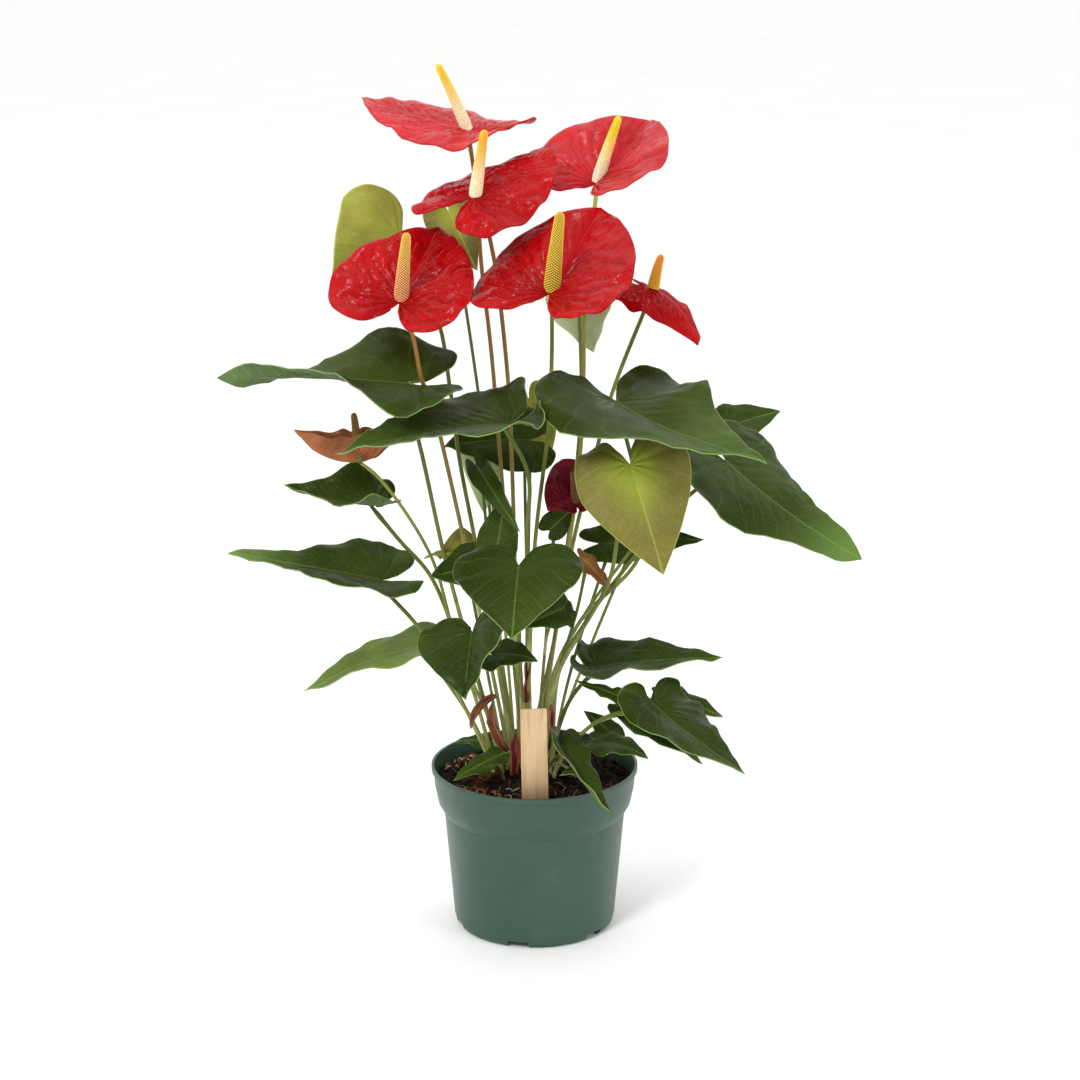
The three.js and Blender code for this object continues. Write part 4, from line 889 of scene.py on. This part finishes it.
def blended(first, second, share):
    """A colour a share of the way from one to another."""
    return tuple(a + (b - a) * share for a, b in zip(first, second))


def leaf_finish(name, green, vein_tint, heart_tint, tip_share):
    """A leaf's glossy upper side: mottled green, with a faint net of veins, a pale midrib and a pale margin.
    Its middle round the stalk may be lighter, and so may its tip."""
    finish = Finish(name, 0.34, specular_ior_level=0.07)
    phase, reach = finish.map("veins")
    along, across = finish.map("flat")
    broad = finish.noise(14, 2)
    fine = finish.noise(420, 4)
    ground = finish.mix(finish.ramp(broad, 0.32, 0.68), scaled(green, 0.7), scaled(green, 1.3))
    ground = finish.mix(finish.ramp(fine, 0.4, 0.62, 0.0, 0.2), ground, scaled(green, 0.6))
    ground = finish.mix(finish.ramp(reach, 0.0, 0.75, 0.75, 0.0), ground, heart_tint)
    ground = finish.mix(finish.ramp(along, 0.55, 1.3, 0.0, tip_share), ground, blended(green, vein_tint, 0.7))
    net = finish.net(420.0, 0.1)
    ground = finish.mix(net, ground, vein_tint)
    veins = finish.math(
        "MAXIMUM", finish.veins(phase, 0.005, 0.06, 0.13), finish.rib(across, 0.004, 0.012, 0.38)
    )
    ground = finish.mix(veins, ground, vein_tint)
    ground = finish.mix(finish.ramp(reach, 0.988, 0.998, 0.0, 0.8), ground, scaled(vein_tint, 1.3))
    finish.colour(ground)
    finish.feed(finish.shader.inputs["Roughness"], finish.ramp(broad, 0.3, 0.7, 0.28, 0.4))
    relief = finish.math("ADD", fine, finish.math("MULTIPLY", net, 3.0))
    finish.bump(relief, 0.00015, 0.6)
    return finish.material


def underside_finish(name, green):
    """A leaf's dull, paler back, with its veins raised."""
    finish = Finish(name, 0.6, specular_ior_level=0.2)
    phase, _ = finish.map("veins")
    veins = finish.veins(phase, 0.01, 0.09, 0.2)
    ground = finish.mottled(finish.noise(20, 2), green, 0.8, 1.2)
    finish.colour(finish.mix(veins, ground, blended(green, (0.5, 0.55, 0.3), 0.4)))
    finish.bump(finish.math("ADD", veins, finish.noise(500, 3)), 0.0002, 0.5)
    return finish.material


def plain_finish(name, tint, roughness, grain, distance, spread=0.25, **sockets):
    """An even finish, with its tint a little mottled and a grain of its own."""
    finish = Finish(name, roughness, **sockets)
    finish.colour(finish.mottled(finish.noise(grain / 6, 3), tint, 1 - spread, 1 + spread))
    finish.bump(finish.noise(grain, 4), distance, 0.5)
    return finish.material


def stalk_finish(name, tint, top_tint):
    """A stalk runs from a pale or reddish foot to a green or brownish top, with fine lines along it."""
    finish = Finish(name, 0.4, specular_ior_level=0.15)
    share, _ = finish.map("flat")
    uneven = finish.math("ADD", share, finish.ramp(finish.noise(60, 3), 0.3, 0.7, -0.08, 0.08))
    body = finish.mix(finish.ramp(uneven, 0.1, 0.6), STALK_FOOT, tint)
    body = finish.mix(finish.ramp(uneven, 0.55, 0.98), body, top_tint)
    lines = finish.noise(900, 2, stretch=(1.0, 1.0, 0.06))
    body = finish.mix(finish.ramp(lines, 0.45, 0.7, 0.0, 0.35), body, scaled(tint, 0.55))
    freckles = finish.ramp(finish.noise(1500, 2), 0.62, 0.72, 0.0, 0.4)
    finish.colour(finish.mix(freckles, body, blended(tint, (0.6, 0.6, 0.35), 0.5)))
    finish.bump(lines, 0.0002, 0.5)
    return finish.material


def spathe_finish(name, red, flush):
    """A spathe's lacquer-like face: saturated, with painted shade in its creases, its midrib and edge paler.
    """
    finish = Finish(name, 0.15, specular_ior_level=0.07, coat_weight=0.03, coat_roughness=0.05)
    phase, reach = finish.map("veins")
    _, across = finish.map("flat")
    ground = finish.mottled(finish.noise(22, 3), red, 0.8, 1.1)
    ground = finish.mix(finish.ramp(reach, 0.3, 1.0, 0.0, 0.35), ground, flush)
    # Painted shade: the creases between the puckers are darkened.
    ground = finish.mix(finish.veins(phase, 0.0, 0.3, 0.34), ground, scaled(red, 0.5))
    ground = finish.mix(finish.rib(across, 0.002, 0.012, 0.5), ground, scaled(flush, 1.12))
    net = finish.net(260.0, 1.0)
    finish.colour(finish.mix(finish.math("MULTIPLY", net, 0.14), ground, scaled(red, 0.5)))
    height = finish.math("ADD", finish.noise(160, 3), finish.math("MULTIPLY", net, -0.3))
    finish.bump(height, 0.0007, 0.6)
    return finish.material


def spadix_finish(name, base_tint, tip_tint, painted_relief_share):
    """A spadix's florets: their tops carry its colour with a painted highlight, and the net between them is
    darker with painted shade.
    """
    finish = Finish(name, 0.5, specular_ior_level=0.12, subsurface_weight=0.08, subsurface_scale=0.002)
    share, relief = finish.map("flat")
    body = finish.mix(finish.ramp(share, 0.1, 0.85), base_tint, tip_tint)
    shade = blended(scaled(tip_tint, 0.2), scaled(base_tint, 0.2), 0.5)
    # Painted shade in the gaps between the florets.
    body = finish.mix(finish.ramp(relief, 0.3, 0.9, painted_relief_share, 0.0), body, shade)
    # Painted highlight on the florets' tops.
    painted_top_light = finish.ramp(relief, 0.8, 0.97, 0.0, painted_relief_share)
    finish.colour(finish.mix(painted_top_light, body, blended(base_tint, (1.0, 0.85, 0.45), 0.75)))
    finish.bump(finish.noise(2600, 2), 0.0001, 0.4)
    return finish.material


def pot_finish(name, green):
    """Moulded green plastic: satin, faintly streaked round, with patches of soil dust and scuffs."""
    finish = Finish(name, 0.3, specular_ior_level=0.5)
    broad = finish.noise(9, 3)
    ground = finish.mottled(broad, green, 0.88, 1.12)
    dust = finish.ramp(finish.noise(46, 5), 0.56, 0.75, 0.0, 0.07)
    ground = finish.mix(dust, ground, (0.2, 0.24, 0.2))
    scuff = finish.ramp(finish.noise(40, 4, stretch=(1.0, 1.0, 7.0)), 0.62, 0.74, 0.0, 0.1)
    finish.colour(finish.mix(scuff, ground, scaled(green, 1.6)))
    finish.feed(finish.shader.inputs["Roughness"], finish.ramp(broad, 0.25, 0.75, 0.33, 0.46))
    away = finish.math("ABSOLUTE", finish.math("SUBTRACT", finish.height(), MOULD_LINE))
    line = finish.ramp(away, 0.0001, 0.0006, 4.0, 0.0)
    finish.bump(finish.math("ADD", finish.noise(900, 3), line), 0.00008, 0.7)
    return finish.material


def soil_finish(name, brown):
    """Peaty soil: near-black brown crumbs with paler bits."""
    finish = Finish(name, 0.93, specular_ior_level=0.1)
    crumbs = finish.noise(380, 6)
    clods = finish.noise(60, 4)
    ground = finish.mottled(clods, brown, 0.55, 1.35)
    rusty = finish.ramp(finish.noise(34, 5), 0.5, 0.66, 0.0, 0.75)
    ground = finish.mix(rusty, ground, (0.1, 0.038, 0.014))
    finish.colour(finish.mix(finish.ramp(crumbs, 0.56, 0.7, 0.0, 0.7), ground, scaled(brown, 4.0)))
    finish.bump(finish.math("ADD", crumbs, clods), 0.0014, 1.0)
    return finish.material


def wood_finish(name, wood):
    """A bare softwood board, its grain running upwards, and damp at the soil."""
    finish = Finish(name, 0.62)
    grain = finish.noise(240, 5, stretch=(1.0, 1.0, 0.035))
    figure = finish.noise(70, 3, stretch=(1.0, 1.0, 0.05))
    ground = finish.mottled(figure, wood, 0.86, 1.12)
    ground = finish.mix(finish.ramp(grain, 0.5, 0.68, 0.0, 0.5), ground, scaled(wood, 0.6))
    damp = finish.ramp(finish.height(), *LABEL_DAMP, 0.6, 0.0)
    finish.colour(finish.mix(damp, ground, scaled(wood, 0.3)))
    finish.bump(grain, 0.0002, 0.6)
    return finish.material


def stalk_taper(length, swell):
    """A stalk is thicker at its foot, and swells a little before it meets the blade."""

    def taper(walked):
        left = length - walked
        foot = FOOT_SWELL[0] * math.exp(-walked / FOOT_SWELL[1])
        neck = swell * math.exp(-(((left - NECK_SWELL[0]) / NECK_SWELL[1]) ** 2))
        return 1 + foot + neck - NECK_SLIM[0] * math.exp(-left / NECK_SLIM[1])

    return taper


def stalk_route(stalk):
    """A stalk's points up to its blade."""
    points = stalk_line(stalk)
    while len(points) > 3 and (points[-2] - points[-1]).length < SHORTEST_STEP:
        points.pop(-2)
    return points


def grow_stalk(shape, stalk, surface, radius, material, swell):
    """Adds a stalk that ends level with its blade to a shape."""
    points = stalk_route(stalk)
    taper = stalk_taper(line_length(points), swell)
    grow_tube(shape, points, radius * STALK_SLIM, STALK_ROUND, material, taper, surface.normal)


def grow_blade(shape, spec, surface, veins):
    """Adds a blade with its two sides and rim to a shape."""
    thick = thickened(blade_sheet(spec, surface, veins), BLADE_THICKNESS)
    shape.from_mesh(thick)
    bpy.data.meshes.remove(thick)


def leaf_shape(spec, veins):
    """A leaf's blade on its stalk, with any side blades on stalks that branch from it."""
    shape = bmesh.new()
    surface = Surface(spec)
    grow_blade(shape, spec, surface, veins)
    grow_stalk(shape, spec["stalk"], surface, spec["thick"], STALK_MATERIAL, LEAF_NECK)
    main = stalk_line(spec["stalk"])
    for side in spec["branches"]:
        surface = Surface(side)
        grow_blade(shape, side, surface, veins)
        foot, rise = along_line(main, side["fork"])
        arrive = (surface.seat - foot).normalized() + surface.normal * BRANCH_RISE
        stalk = {"foot": foot, "joint": surface.seat, "rise": rise, "arrive": arrive, "via": ()}
        grow_stalk(shape, stalk, surface, side["thick"], STALK_MATERIAL, LEAF_NECK)
    return mesh_of(shape)


def spadix_shape(spec, florets):
    """A spadix: a tapering finger, its surface raised in a diamond net of florets."""
    root = Surface(spec).seat
    axis = Vector(spec["spadix_tip"]) - root
    length, width = axis.length, spec["radius"]
    climbs = round(length / florets)
    crown = 1 - width * SPADIX_CROWN / length
    shape = bmesh.new()
    made = bmesh.ops.create_grid(
        shape, x_segments=FLORETS_ROUND * FLORET_STEPS, y_segments=climbs * FLORET_STEPS, size=1
    )
    flat_map = shape.loops.layers.uv.new("flat")
    turn = axis.to_track_quat("Z", "Y")
    sag = turn @ Vector((0, SPADIX_SAG, 0))
    for vert in made["verts"]:
        angle = math.pi * (vert.co.x + 1)
        share = (vert.co.y + 1) / 2
        close = 1.0 if share < crown else math.sqrt(max(0.0, 1 - ((share - crown) / (1 - crown)) ** 2))
        round_it, up_it = FLORETS_ROUND * angle / 2, math.pi * climbs * share
        relief = abs(math.sin(round_it + up_it) * math.sin(round_it - up_it)) ** FLORET_FULLNESS
        radius = width * (1 - SPADIX_TAPER[0] * share ** SPADIX_TAPER[1]) * close
        radius += FLORET_HEIGHT * (relief - 0.5) * close * min(1.0, share * SPADIX_FOOT)
        centre = root + axis * share + sag * math.sin(math.pi * share)
        vert.co = centre + turn @ Vector((math.cos(angle), math.sin(angle), 0)) * radius
        for loop in vert.link_loops:
            loop[flat_map].uv = (share, relief)
    bmesh.ops.remove_doubles(shape, verts=shape.verts, dist=2 * TOUCH)
    bmesh.ops.holes_fill(shape, edges=shape.edges, sides=0)
    bmesh.ops.recalc_face_normals(shape, faces=shape.faces)
    return mesh_of(shape)


def spun(profile, steps):
    """Turns a profile of radius and height about the pot's axis into a closed shell."""
    shape = bmesh.new()
    verts = [shape.verts.new((radius, 0, height)) for radius, height in profile]
    edges = [shape.edges.new(pair) for pair in zip(verts, verts[1:])]
    bmesh.ops.spin(
        shape, geom=verts + edges, cent=(0, 0, 0), axis=(0, 0, 1), angle=2 * math.pi, steps=steps,
        use_merge=True,
    )
    bmesh.ops.remove_doubles(shape, verts=shape.verts, dist=TOUCH)
    bmesh.ops.recalc_face_normals(shape, faces=shape.faces)
    return shape


def pot_shape():
    """The pot's shell with its notched foot ring, its edges eased."""
    floor_top = FLOOR_LIFT + POT_WALL
    inside = [(POT_OUTSIDE[i][0] - POT_WALL, POT_OUTSIDE[i][1]) for i in reversed(POT_INSIDE)]
    profile = [
        (0, 0), (CENTRE_PAD_RADIUS, 0), (CENTRE_PAD_RADIUS, FLOOR_LIFT), (FOOT_RING_INSIDE, FLOOR_LIFT),
        (FOOT_RING_INSIDE, 0), *POT_OUTSIDE, *inside, (POT_OUTSIDE[2][0] - POT_WALL, floor_top),
        (0, floor_top),
    ]
    holder = bpy.data.objects.new("pot", mesh_of(spun(profile, POT_STEPS), smooth=False))
    notches = bmesh.new()
    for i in range(FOOT_NOTCHES):
        turn = Matrix.Rotation(NOTCH_TURN + 2 * math.pi * i / FOOT_NOTCHES, 4, "Z")
        size = Matrix.Diagonal((NOTCH_WIDTH, NOTCH_REACH, 2 * NOTCH_HEIGHT, 1))
        place = turn @ Matrix.Translation((0, -POT_OUTSIDE[0][0], 0)) @ size
        bmesh.ops.create_cube(notches, size=1, matrix=place)
    cutter = bpy.data.objects.new("notches", mesh_of(notches, smooth=False))
    for thing in (holder, cutter):
        bpy.context.scene.collection.objects.link(thing)
    cut = holder.modifiers.new("notches", "BOOLEAN")
    cut.operation = "DIFFERENCE"
    cut.solver = "EXACT"
    cut.object = cutter
    ease = holder.modifiers.new("eased edges", "BEVEL")
    ease.width = POT_EASE
    ease.segments = 3
    ease.limit_method = "ANGLE"
    ease.angle_limit = POT_EASE_ANGLE
    shape = bpy.data.meshes.new_from_object(holder.evaluated_get(bpy.context.evaluated_depsgraph_get()))
    for thing in (holder, cutter):
        bpy.data.objects.remove(thing)
    shape.shade_smooth()
    shape.set_sharp_from_angle(angle=POT_SHARP_ANGLE)
    return shape


def soil_shape():
    """The soil's body, its top roughened over the lumps."""
    floor_top = FLOOR_LIFT + POT_WALL + GAP
    slack = POT_WALL + GAP
    wall = [(radius - slack, height) for radius, height in POT_OUTSIDE[2:6]]
    wall[0] = (wall[0][0], floor_top)
    edge = wall[-1][0]
    top = [(edge * ring / SOIL_RINGS, SOIL_TOP) for ring in range(SOIL_RINGS - 1, -1, -1)]
    shape = spun([(0, floor_top), *wall, *top], SOIL_STEPS)
    for vert in shape.verts:
        above_wall = vert.co.z > wall[-1][1] + TOUCH
        inside_edge = vert.co.z > wall[-2][1] + TOUCH and vert.co.xy.length < edge - TOUCH
        if above_wall or inside_edge:
            rough = noise.fractal(vert.co * SOIL_GRAIN, *SOIL_NOISE)
            vert.co.z = soil_height(*vert.co.xy) + SOIL_ROUGHNESS * rough
    return mesh_of(shape)


def crumbs_shape(dice, count):
    """Loose crumbs of soil, strewn over its top."""
    shape = bmesh.new()
    for _ in range(count):
        angle, far = dice.uniform(0, 2 * math.pi), CRUMBS_REACH * math.sqrt(dice.random())
        x, y = far * math.cos(angle), far * math.sin(angle)
        size = dice.uniform(*CRUMB_SIZE) * dice.uniform(0.5, 1.0)
        place = Matrix.Translation((x, y, soil_height(x, y) + size * 0.3))
        turn = Quaternion((dice.gauss(0, 1), dice.gauss(0, 1), dice.gauss(0, 1), 1)).normalized()
        squash = Matrix.Diagonal((1, dice.uniform(0.6, 1.0), dice.uniform(0.5, 0.9), 1))
        place = place @ turn.to_matrix().to_4x4() @ squash
        bmesh.ops.create_icosphere(shape, subdivisions=1, radius=size, matrix=place)
    return mesh_of(shape, smooth=False)


def fibre_shape(dice, middle, spread, count, length, radius):
    """Thin bits of fibre lying on the soil, some curling up."""
    shape = bmesh.new()
    for _ in range(count):
        angle, far = dice.uniform(0, 2 * math.pi), spread * math.sqrt(dice.random())
        x, y = middle[0] + far * math.cos(angle), middle[1] + far * math.sin(angle)
        heading, reach = dice.uniform(0, 2 * math.pi), length * dice.uniform(0.4, 1.0)
        curl = dice.uniform(*FIBRE_CURL)
        points = []
        for i in range(FIBRE_STEPS + 1):
            x += math.cos(heading) * reach / FIBRE_STEPS
            y += math.sin(heading) * reach / FIBRE_STEPS
            heading += dice.uniform(-0.5, 0.5)
            inside = min(1.0, CRUMBS_REACH / max(TOUCH, math.hypot(x, y)))
            x, y = x * inside, y * inside
            lift = FIBRE_REST + curl * math.sin(math.pi * i / FIBRE_STEPS)
            points.append(Vector((x, y, soil_height(x, y) + lift)))
        thick = radius * dice.uniform(0.7, 1.3)
        grow_tube(shape, points, thick, FIBRE_SIDES, 0, lambda walked: 1.0)
    return mesh_of(shape)


def label_shape():
    """The bare board, with its edges sanded off."""
    width, thickness, length = LABEL_SIZE
    shape = bmesh.new()
    turn = Matrix.Rotation(LABEL_LEAN, 4, "X") @ Matrix.Rotation(LABEL_TURN, 4, "Y")
    size = Matrix.Diagonal((width, thickness, length, 1))
    bmesh.ops.create_cube(shape, size=1, matrix=Matrix.Translation((0, 0, length / 2)) @ size)
    top = [
        edge for edge in shape.edges
        if edge.verts[0].co.z > length / 2 and abs((edge.verts[0].co - edge.verts[1].co).normalized().y) > 0.9
    ]
    rounded = {"offset_type": "OFFSET", "affect": "EDGES", "profile": 0.5, "material": -1}
    bmesh.ops.bevel(shape, geom=top, offset=LABEL_CORNER, segments=4, **rounded)
    sharp = [edge for edge in shape.edges if edge.calc_face_angle() > math.radians(60)]
    bmesh.ops.bevel(shape, geom=sharp, offset=LABEL_EDGE, segments=2, clamp_overlap=True, **rounded)
    bmesh.ops.transform(shape, matrix=Matrix.Translation(LABEL_FOOT) @ turn, verts=shape.verts)
    return mesh_of(shape)


def length_property(name, description, length, least=0.0):
    return bpy.props.FloatProperty(
        name=name, description=description, default=length, min=least, unit="LENGTH", precision=4,
    )


def count_property(name, description, count):
    return bpy.props.IntProperty(name=name, description=description, default=count, min=0)


def colour_property(name, description, colour):
    return bpy.props.FloatVectorProperty(
        name=name, description=description, subtype="COLOR", size=3, min=0.0, max=1.0, default=colour,
    )


class PlantSizes(bpy.types.PropertyGroup):
    """The sizes of the plant's fine detail."""

    vein_spacing: length_property("Vein spacing", "The gap between a leaf's side veins", 0.012, 0.002)
    vein_lift: length_property("Vein lift", "How far a leaf swells between its side veins", 0.0013)
    pucker_lift: length_property("Pucker", "How far a spathe swells between its creases", 0.0021)
    floret_length: length_property("Floret length", "How long a floret is along a spadix", 0.0021, 0.0005)
    crumbs: count_property("Crumbs", "How many loose crumbs lie on the soil", 900)
    fibres: count_property("Fibres", "How many bits of fibre lie on the soil", 260)


class PlantColours(bpy.types.PropertyGroup):
    """The colours of the plant, its pot, soil and label."""

    leaf_green: colour_property("Leaf green", "The grown leaves' colour", (0.027, 0.044, 0.005))
    leaf_fresh: colour_property("Fresh green", "The younger grown leaves' colour", (0.12, 0.175, 0.036))
    # Partly the leaves' own paler colour, partly painted light shining through them.
    leaf_pale: colour_property("Pale green", "The palest leaves' colour", (0.46, 0.55, 0.28))
    leaf_lime: colour_property("Lime", "The unripe leaves' colour", (0.25, 0.26, 0.045))
    leaf_olive: colour_property("Leaf olive", "The ripening leaves' colour", (0.14, 0.125, 0.03))
    leaf_bronze: colour_property("Leaf bronze", "The youngest leaf's colour", (0.2, 0.075, 0.02))
    spathe_red: colour_property("Spathe red", "The grown spathes' colour", (0.33, 0.001, 0.002))
    # A lighter, pinker copy of the spathe red, with the light on the uppermost spathes painted in.
    spathe_lit_red: colour_property("Bright red", "The uppermost spathes' colour", (0.43, 0.014, 0.018))
    young_red: colour_property("Young red", "The darkest unripe spathe's colour", (0.13, 0.006, 0.014))
    young_brown: colour_property("Young brown", "The browner unripe spathe's colour", (0.16, 0.052, 0.01))
    pot_green: colour_property("Pot green", "The pot's plastic", (0.019, 0.062, 0.039))
    soil_brown: colour_property("Soil brown", "The peaty soil", (0.013, 0.0075, 0.0045))
    label_wood: colour_property("Label wood", "The bare wooden label", (0.55, 0.37, 0.2))


class BuildPot(bpy.types.Operator):
    """Builds the moulded plastic nursery pot"""

    bl_idname = "anthurium.pot"
    bl_label = "Pot"
    bl_options = {"REGISTER", "UNDO"}

    def execute(self, context):
        finish = pot_finish("green plastic", tuple(context.scene.anthurium_colours.pot_green))
        piece("pot_fine", pot_shape(), (finish,), ["pot"])
        return {"FINISHED"}


class BuildSoil(bpy.types.Operator):
    """Builds the soil, with crumbs, fibres and pale roots lying on it"""

    bl_idname = "anthurium.soil"
    bl_label = "Soil"
    bl_options = {"REGISTER", "UNDO"}

    def execute(self, context):
        sizes = context.scene.anthurium_sizes
        dice = random.Random(SOIL_SEED)
        peat = soil_finish("peat", tuple(context.scene.anthurium_colours.soil_brown))
        piece("soil_fine", soil_shape(), (peat,), ["soil"])
        piece("soil_crumbs", crumbs_shape(dice, sizes.crumbs), (peat,))
        for name, middle, spread, share, length, radius, tint in FIBRES:
            finish = plain_finish(name.replace("_", " "), tint, 0.8, 700, 0.0002, 0.4)
            shape = fibre_shape(dice, middle, spread, round(sizes.fibres * share), length, radius)
            piece(name, shape, (finish,))
        return {"FINISHED"}


class BuildLabel(bpy.types.Operator):
    """Builds the bare wooden plant label"""

    bl_idname = "anthurium.label"
    bl_label = "Label"
    bl_options = {"REGISTER", "UNDO"}

    def execute(self, context):
        finish = wood_finish("label wood", tuple(context.scene.anthurium_colours.label_wood))
        piece("plant_label_fine", label_shape(), (finish,), ["plant_label"])
        return {"FINISHED"}


class BuildLeaves(bpy.types.Operator):
    """Builds every leaf and leafy shoot on its stalk"""

    bl_idname = "anthurium.leaves"
    bl_label = "Leaves"
    bl_options = {"REGISTER", "UNDO"}

    def execute(self, context):
        sizes, colours = context.scene.anthurium_sizes, context.scene.anthurium_colours
        veins = {**LEAF_VEINS, "lift": sizes.vein_lift, "spacing": sizes.vein_spacing}
        finishes = {}
        for kind, (source, heart, heart_share, tip_share, vein, _) in LEAF_TINTS.items():
            tint = tuple(getattr(colours, source))
            heart = blended(tint, heart, heart_share)
            finishes[kind] = (
                leaf_finish(f"leaf upper side {kind}", tint, vein, heart, tip_share),
                underside_finish(f"leaf underside {kind}", blended(tint, UNDERSIDE_TINT, 0.4)),
                plain_finish(f"leaf margin {kind}", blended(tint, vein, 0.75), 0.5, 300, 0.0001),
                stalk_finish(f"leaf stalk {kind}", STALK_MIDDLE, blended(tint, STALK_TOP, 0.85)),
            )
        for spec in LEAVES:
            look = LEAF_LOOKS.get(spec["name"], spec["tint"])
            piece(spec["name"] + "_fine", leaf_shape(spec, veins), finishes[look], [spec["name"]])
        return {"FINISHED"}


class BuildBlooms(bpy.types.Operator):
    """Builds each bloom's puckered spathe, its spadix and its stalk"""

    bl_idname = "anthurium.blooms"
    bl_label = "Blooms"
    bl_options = {"REGISTER", "UNDO"}

    def execute(self, context):
        sizes, colours = context.scene.anthurium_sizes, context.scene.anthurium_colours
        veins = {**SPATHE_VEINS, "lift": sizes.pucker_lift}
        stalks = {kind: stalk_finish(f"bloom stalk {kind}", *tints) for kind, tints in BLOOM_STALKS.items()}
        for spec in BLOOMS:
            name = spec["name"]
            label = name.replace("_", " ")
            kind, stalk_kind, *spadix_look = BLOOM_LOOKS[name]
            source, flush = SPATHE_TINTS[kind]
            red = tuple(getattr(colours, source))
            face = spathe_finish(f"{label} spathe", red, flush)
            tint = blended(red, flush, 0.6)
            back = plain_finish(f"{label} back", tint, 0.45, 200, 0.0003, specular_ior_level=0.2)
            shape = bmesh.new()
            grow_blade(shape, {**spec, **SPATHE_MESH}, Surface(spec), veins)
            piece(f"{name}_spathe_fine", mesh_of(shape), (face, back, face), [f"{name}_spathe"])
            shape = bmesh.new()
            grow_stalk(shape, spec["stalk"], Surface(spec), spec["thick"], 0, BLOOM_NECK)
            finish = stalks[stalk_kind]
            piece(f"{name}_stalk_fine", mesh_of(shape), (finish,), [f"{name}_stalk"])
            if spec["spadix_tip"]:
                finish = spadix_finish(f"{label} spadix", *spadix_look)
                shape = spadix_shape(spec, sizes.floret_length)
                piece(f"{name}_spadix_fine", shape, (finish,), [f"{name}_spadix"])
        return {"FINISHED"}


class BuildSheaths(bpy.types.Operator):
    """Builds the dried sheaths that cling to the crown's stalks"""

    bl_idname = "anthurium.sheaths"
    bl_label = "Dried sheaths"
    bl_options = {"REGISTER", "UNDO"}

    def execute(self, context):
        veins = {**LEAF_VEINS, "lift": 0.0, "spacing": SHEATH_SPACING}
        for name, *places, tint in SHEATHS:
            spec = blade(name, *places, **SHEATH_HABIT)
            shape = bmesh.new()
            grow_blade(shape, spec, Surface(spec), veins)
            for face in shape.faces:
                face.material_index = 0
            finish = plain_finish(name.replace("_", " "), tint, 0.55, 300, 0.0004, 0.45)
            piece(name, mesh_of(shape), (finish,))
        return {"FINISHED"}


class BuildStage(bpy.types.Operator):
    """Sets out the pale floor, the soft lights and the camera"""

    bl_idname = "anthurium.stage"
    bl_label = "Stage"
    bl_options = {"REGISTER", "UNDO"}

    def execute(self, context):
        scene = context.scene
        scene.view_settings.view_transform = "Standard"
        shape = bmesh.new()
        bmesh.ops.create_grid(shape, x_segments=4, y_segments=4, size=FLOOR_REACH)
        floor = bpy.data.objects.new("floor", mesh_of(shape, smooth=False))
        floor.data.materials.append(plain_finish("pale floor", FLOOR_TINT, 0.75, 30, 0.0, 0.01))
        scene.collection.objects.link(floor)
        scene.world = bpy.data.worlds.new("room")
        scene.world.use_nodes = True
        room = Nodes(scene.world.node_tree)
        way = room.node("SeparateXYZ", {0: room.node("TexCoord").outputs["Object"]})
        depth = room.ramp(way.outputs[1], *ROOM_DEPTH, way="LINEAR")
        rise = room.ramp(way.outputs[2], *ROOM_RISE, way="LINEAR")
        background = room.tree.nodes["Background"]
        background.inputs["Color"].default_value = (1.0, 1.0, 1.0, 1.0)
        room.feed(background.inputs["Strength"], room.math("MULTIPLY", depth, rise))
        for name, place, aim, size, power in LIGHTS:
            lamp = bpy.data.lights.new(name, "AREA")
            lamp.shape = "DISK"
            lamp.size = size
            lamp.energy = power
            holder = bpy.data.objects.new(name, lamp)
            holder.location = place
            holder.rotation_euler = (Vector(aim) - Vector(place)).to_track_quat("-Z", "Y").to_euler()
            scene.collection.objects.link(holder)
        camera = bpy.data.cameras.new("camera")
        camera.lens = CAMERA_LENS
        camera.sensor_width = SENSOR_WIDTH
        camera.clip_end = 3 * FLOOR_REACH
        holder = bpy.data.objects.new("camera", camera)
        holder.location = CAMERA_PLACE
        holder.rotation_euler = (math.radians(90 - CAMERA_DIP), 0, 0)
        scene.collection.objects.link(holder)
        scene.camera = holder
        return {"FINISHED"}


STEPS = (BuildPot, BuildSoil, BuildLabel, BuildLeaves, BuildBlooms, BuildSheaths, BuildStage)


class PlantPanel(bpy.types.Panel):
    """Lists the plant's sizes, colours and building steps"""

    bl_idname = "VIEW3D_PT_anthurium"
    bl_label = "Potted anthurium"
    bl_space_type = "VIEW_3D"
    bl_region_type = "UI"
    bl_category = "Anthurium"

    def draw(self, context):
        for group in (context.scene.anthurium_sizes, context.scene.anthurium_colours):
            box = self.layout.box()
            for name in group.__annotations__:
                box.prop(group, name)
        for step in STEPS:
            self.layout.operator(step.bl_idname)


CLASSES = (PlantSizes, PlantColours, *STEPS, PlantPanel)


def register():
    for kind in CLASSES:
        bpy.utils.register_class(kind)
    bpy.types.Scene.anthurium_sizes = bpy.props.PointerProperty(type=PlantSizes)
    bpy.types.Scene.anthurium_colours = bpy.props.PointerProperty(type=PlantColours)


def unregister():
    del bpy.types.Scene.anthurium_colours
    del bpy.types.Scene.anthurium_sizes
    for kind in reversed(CLASSES):
        bpy.utils.unregister_class(kind)


def main():
    register()
    bpy.ops.anthurium.pot()
    bpy.ops.anthurium.soil()
    bpy.ops.anthurium.label()
    bpy.ops.anthurium.leaves()
    bpy.ops.anthurium.blooms()
    bpy.ops.anthurium.sheaths()
    bpy.ops.anthurium.stage()
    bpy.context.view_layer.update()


if __name__ == "__main__":
    main()
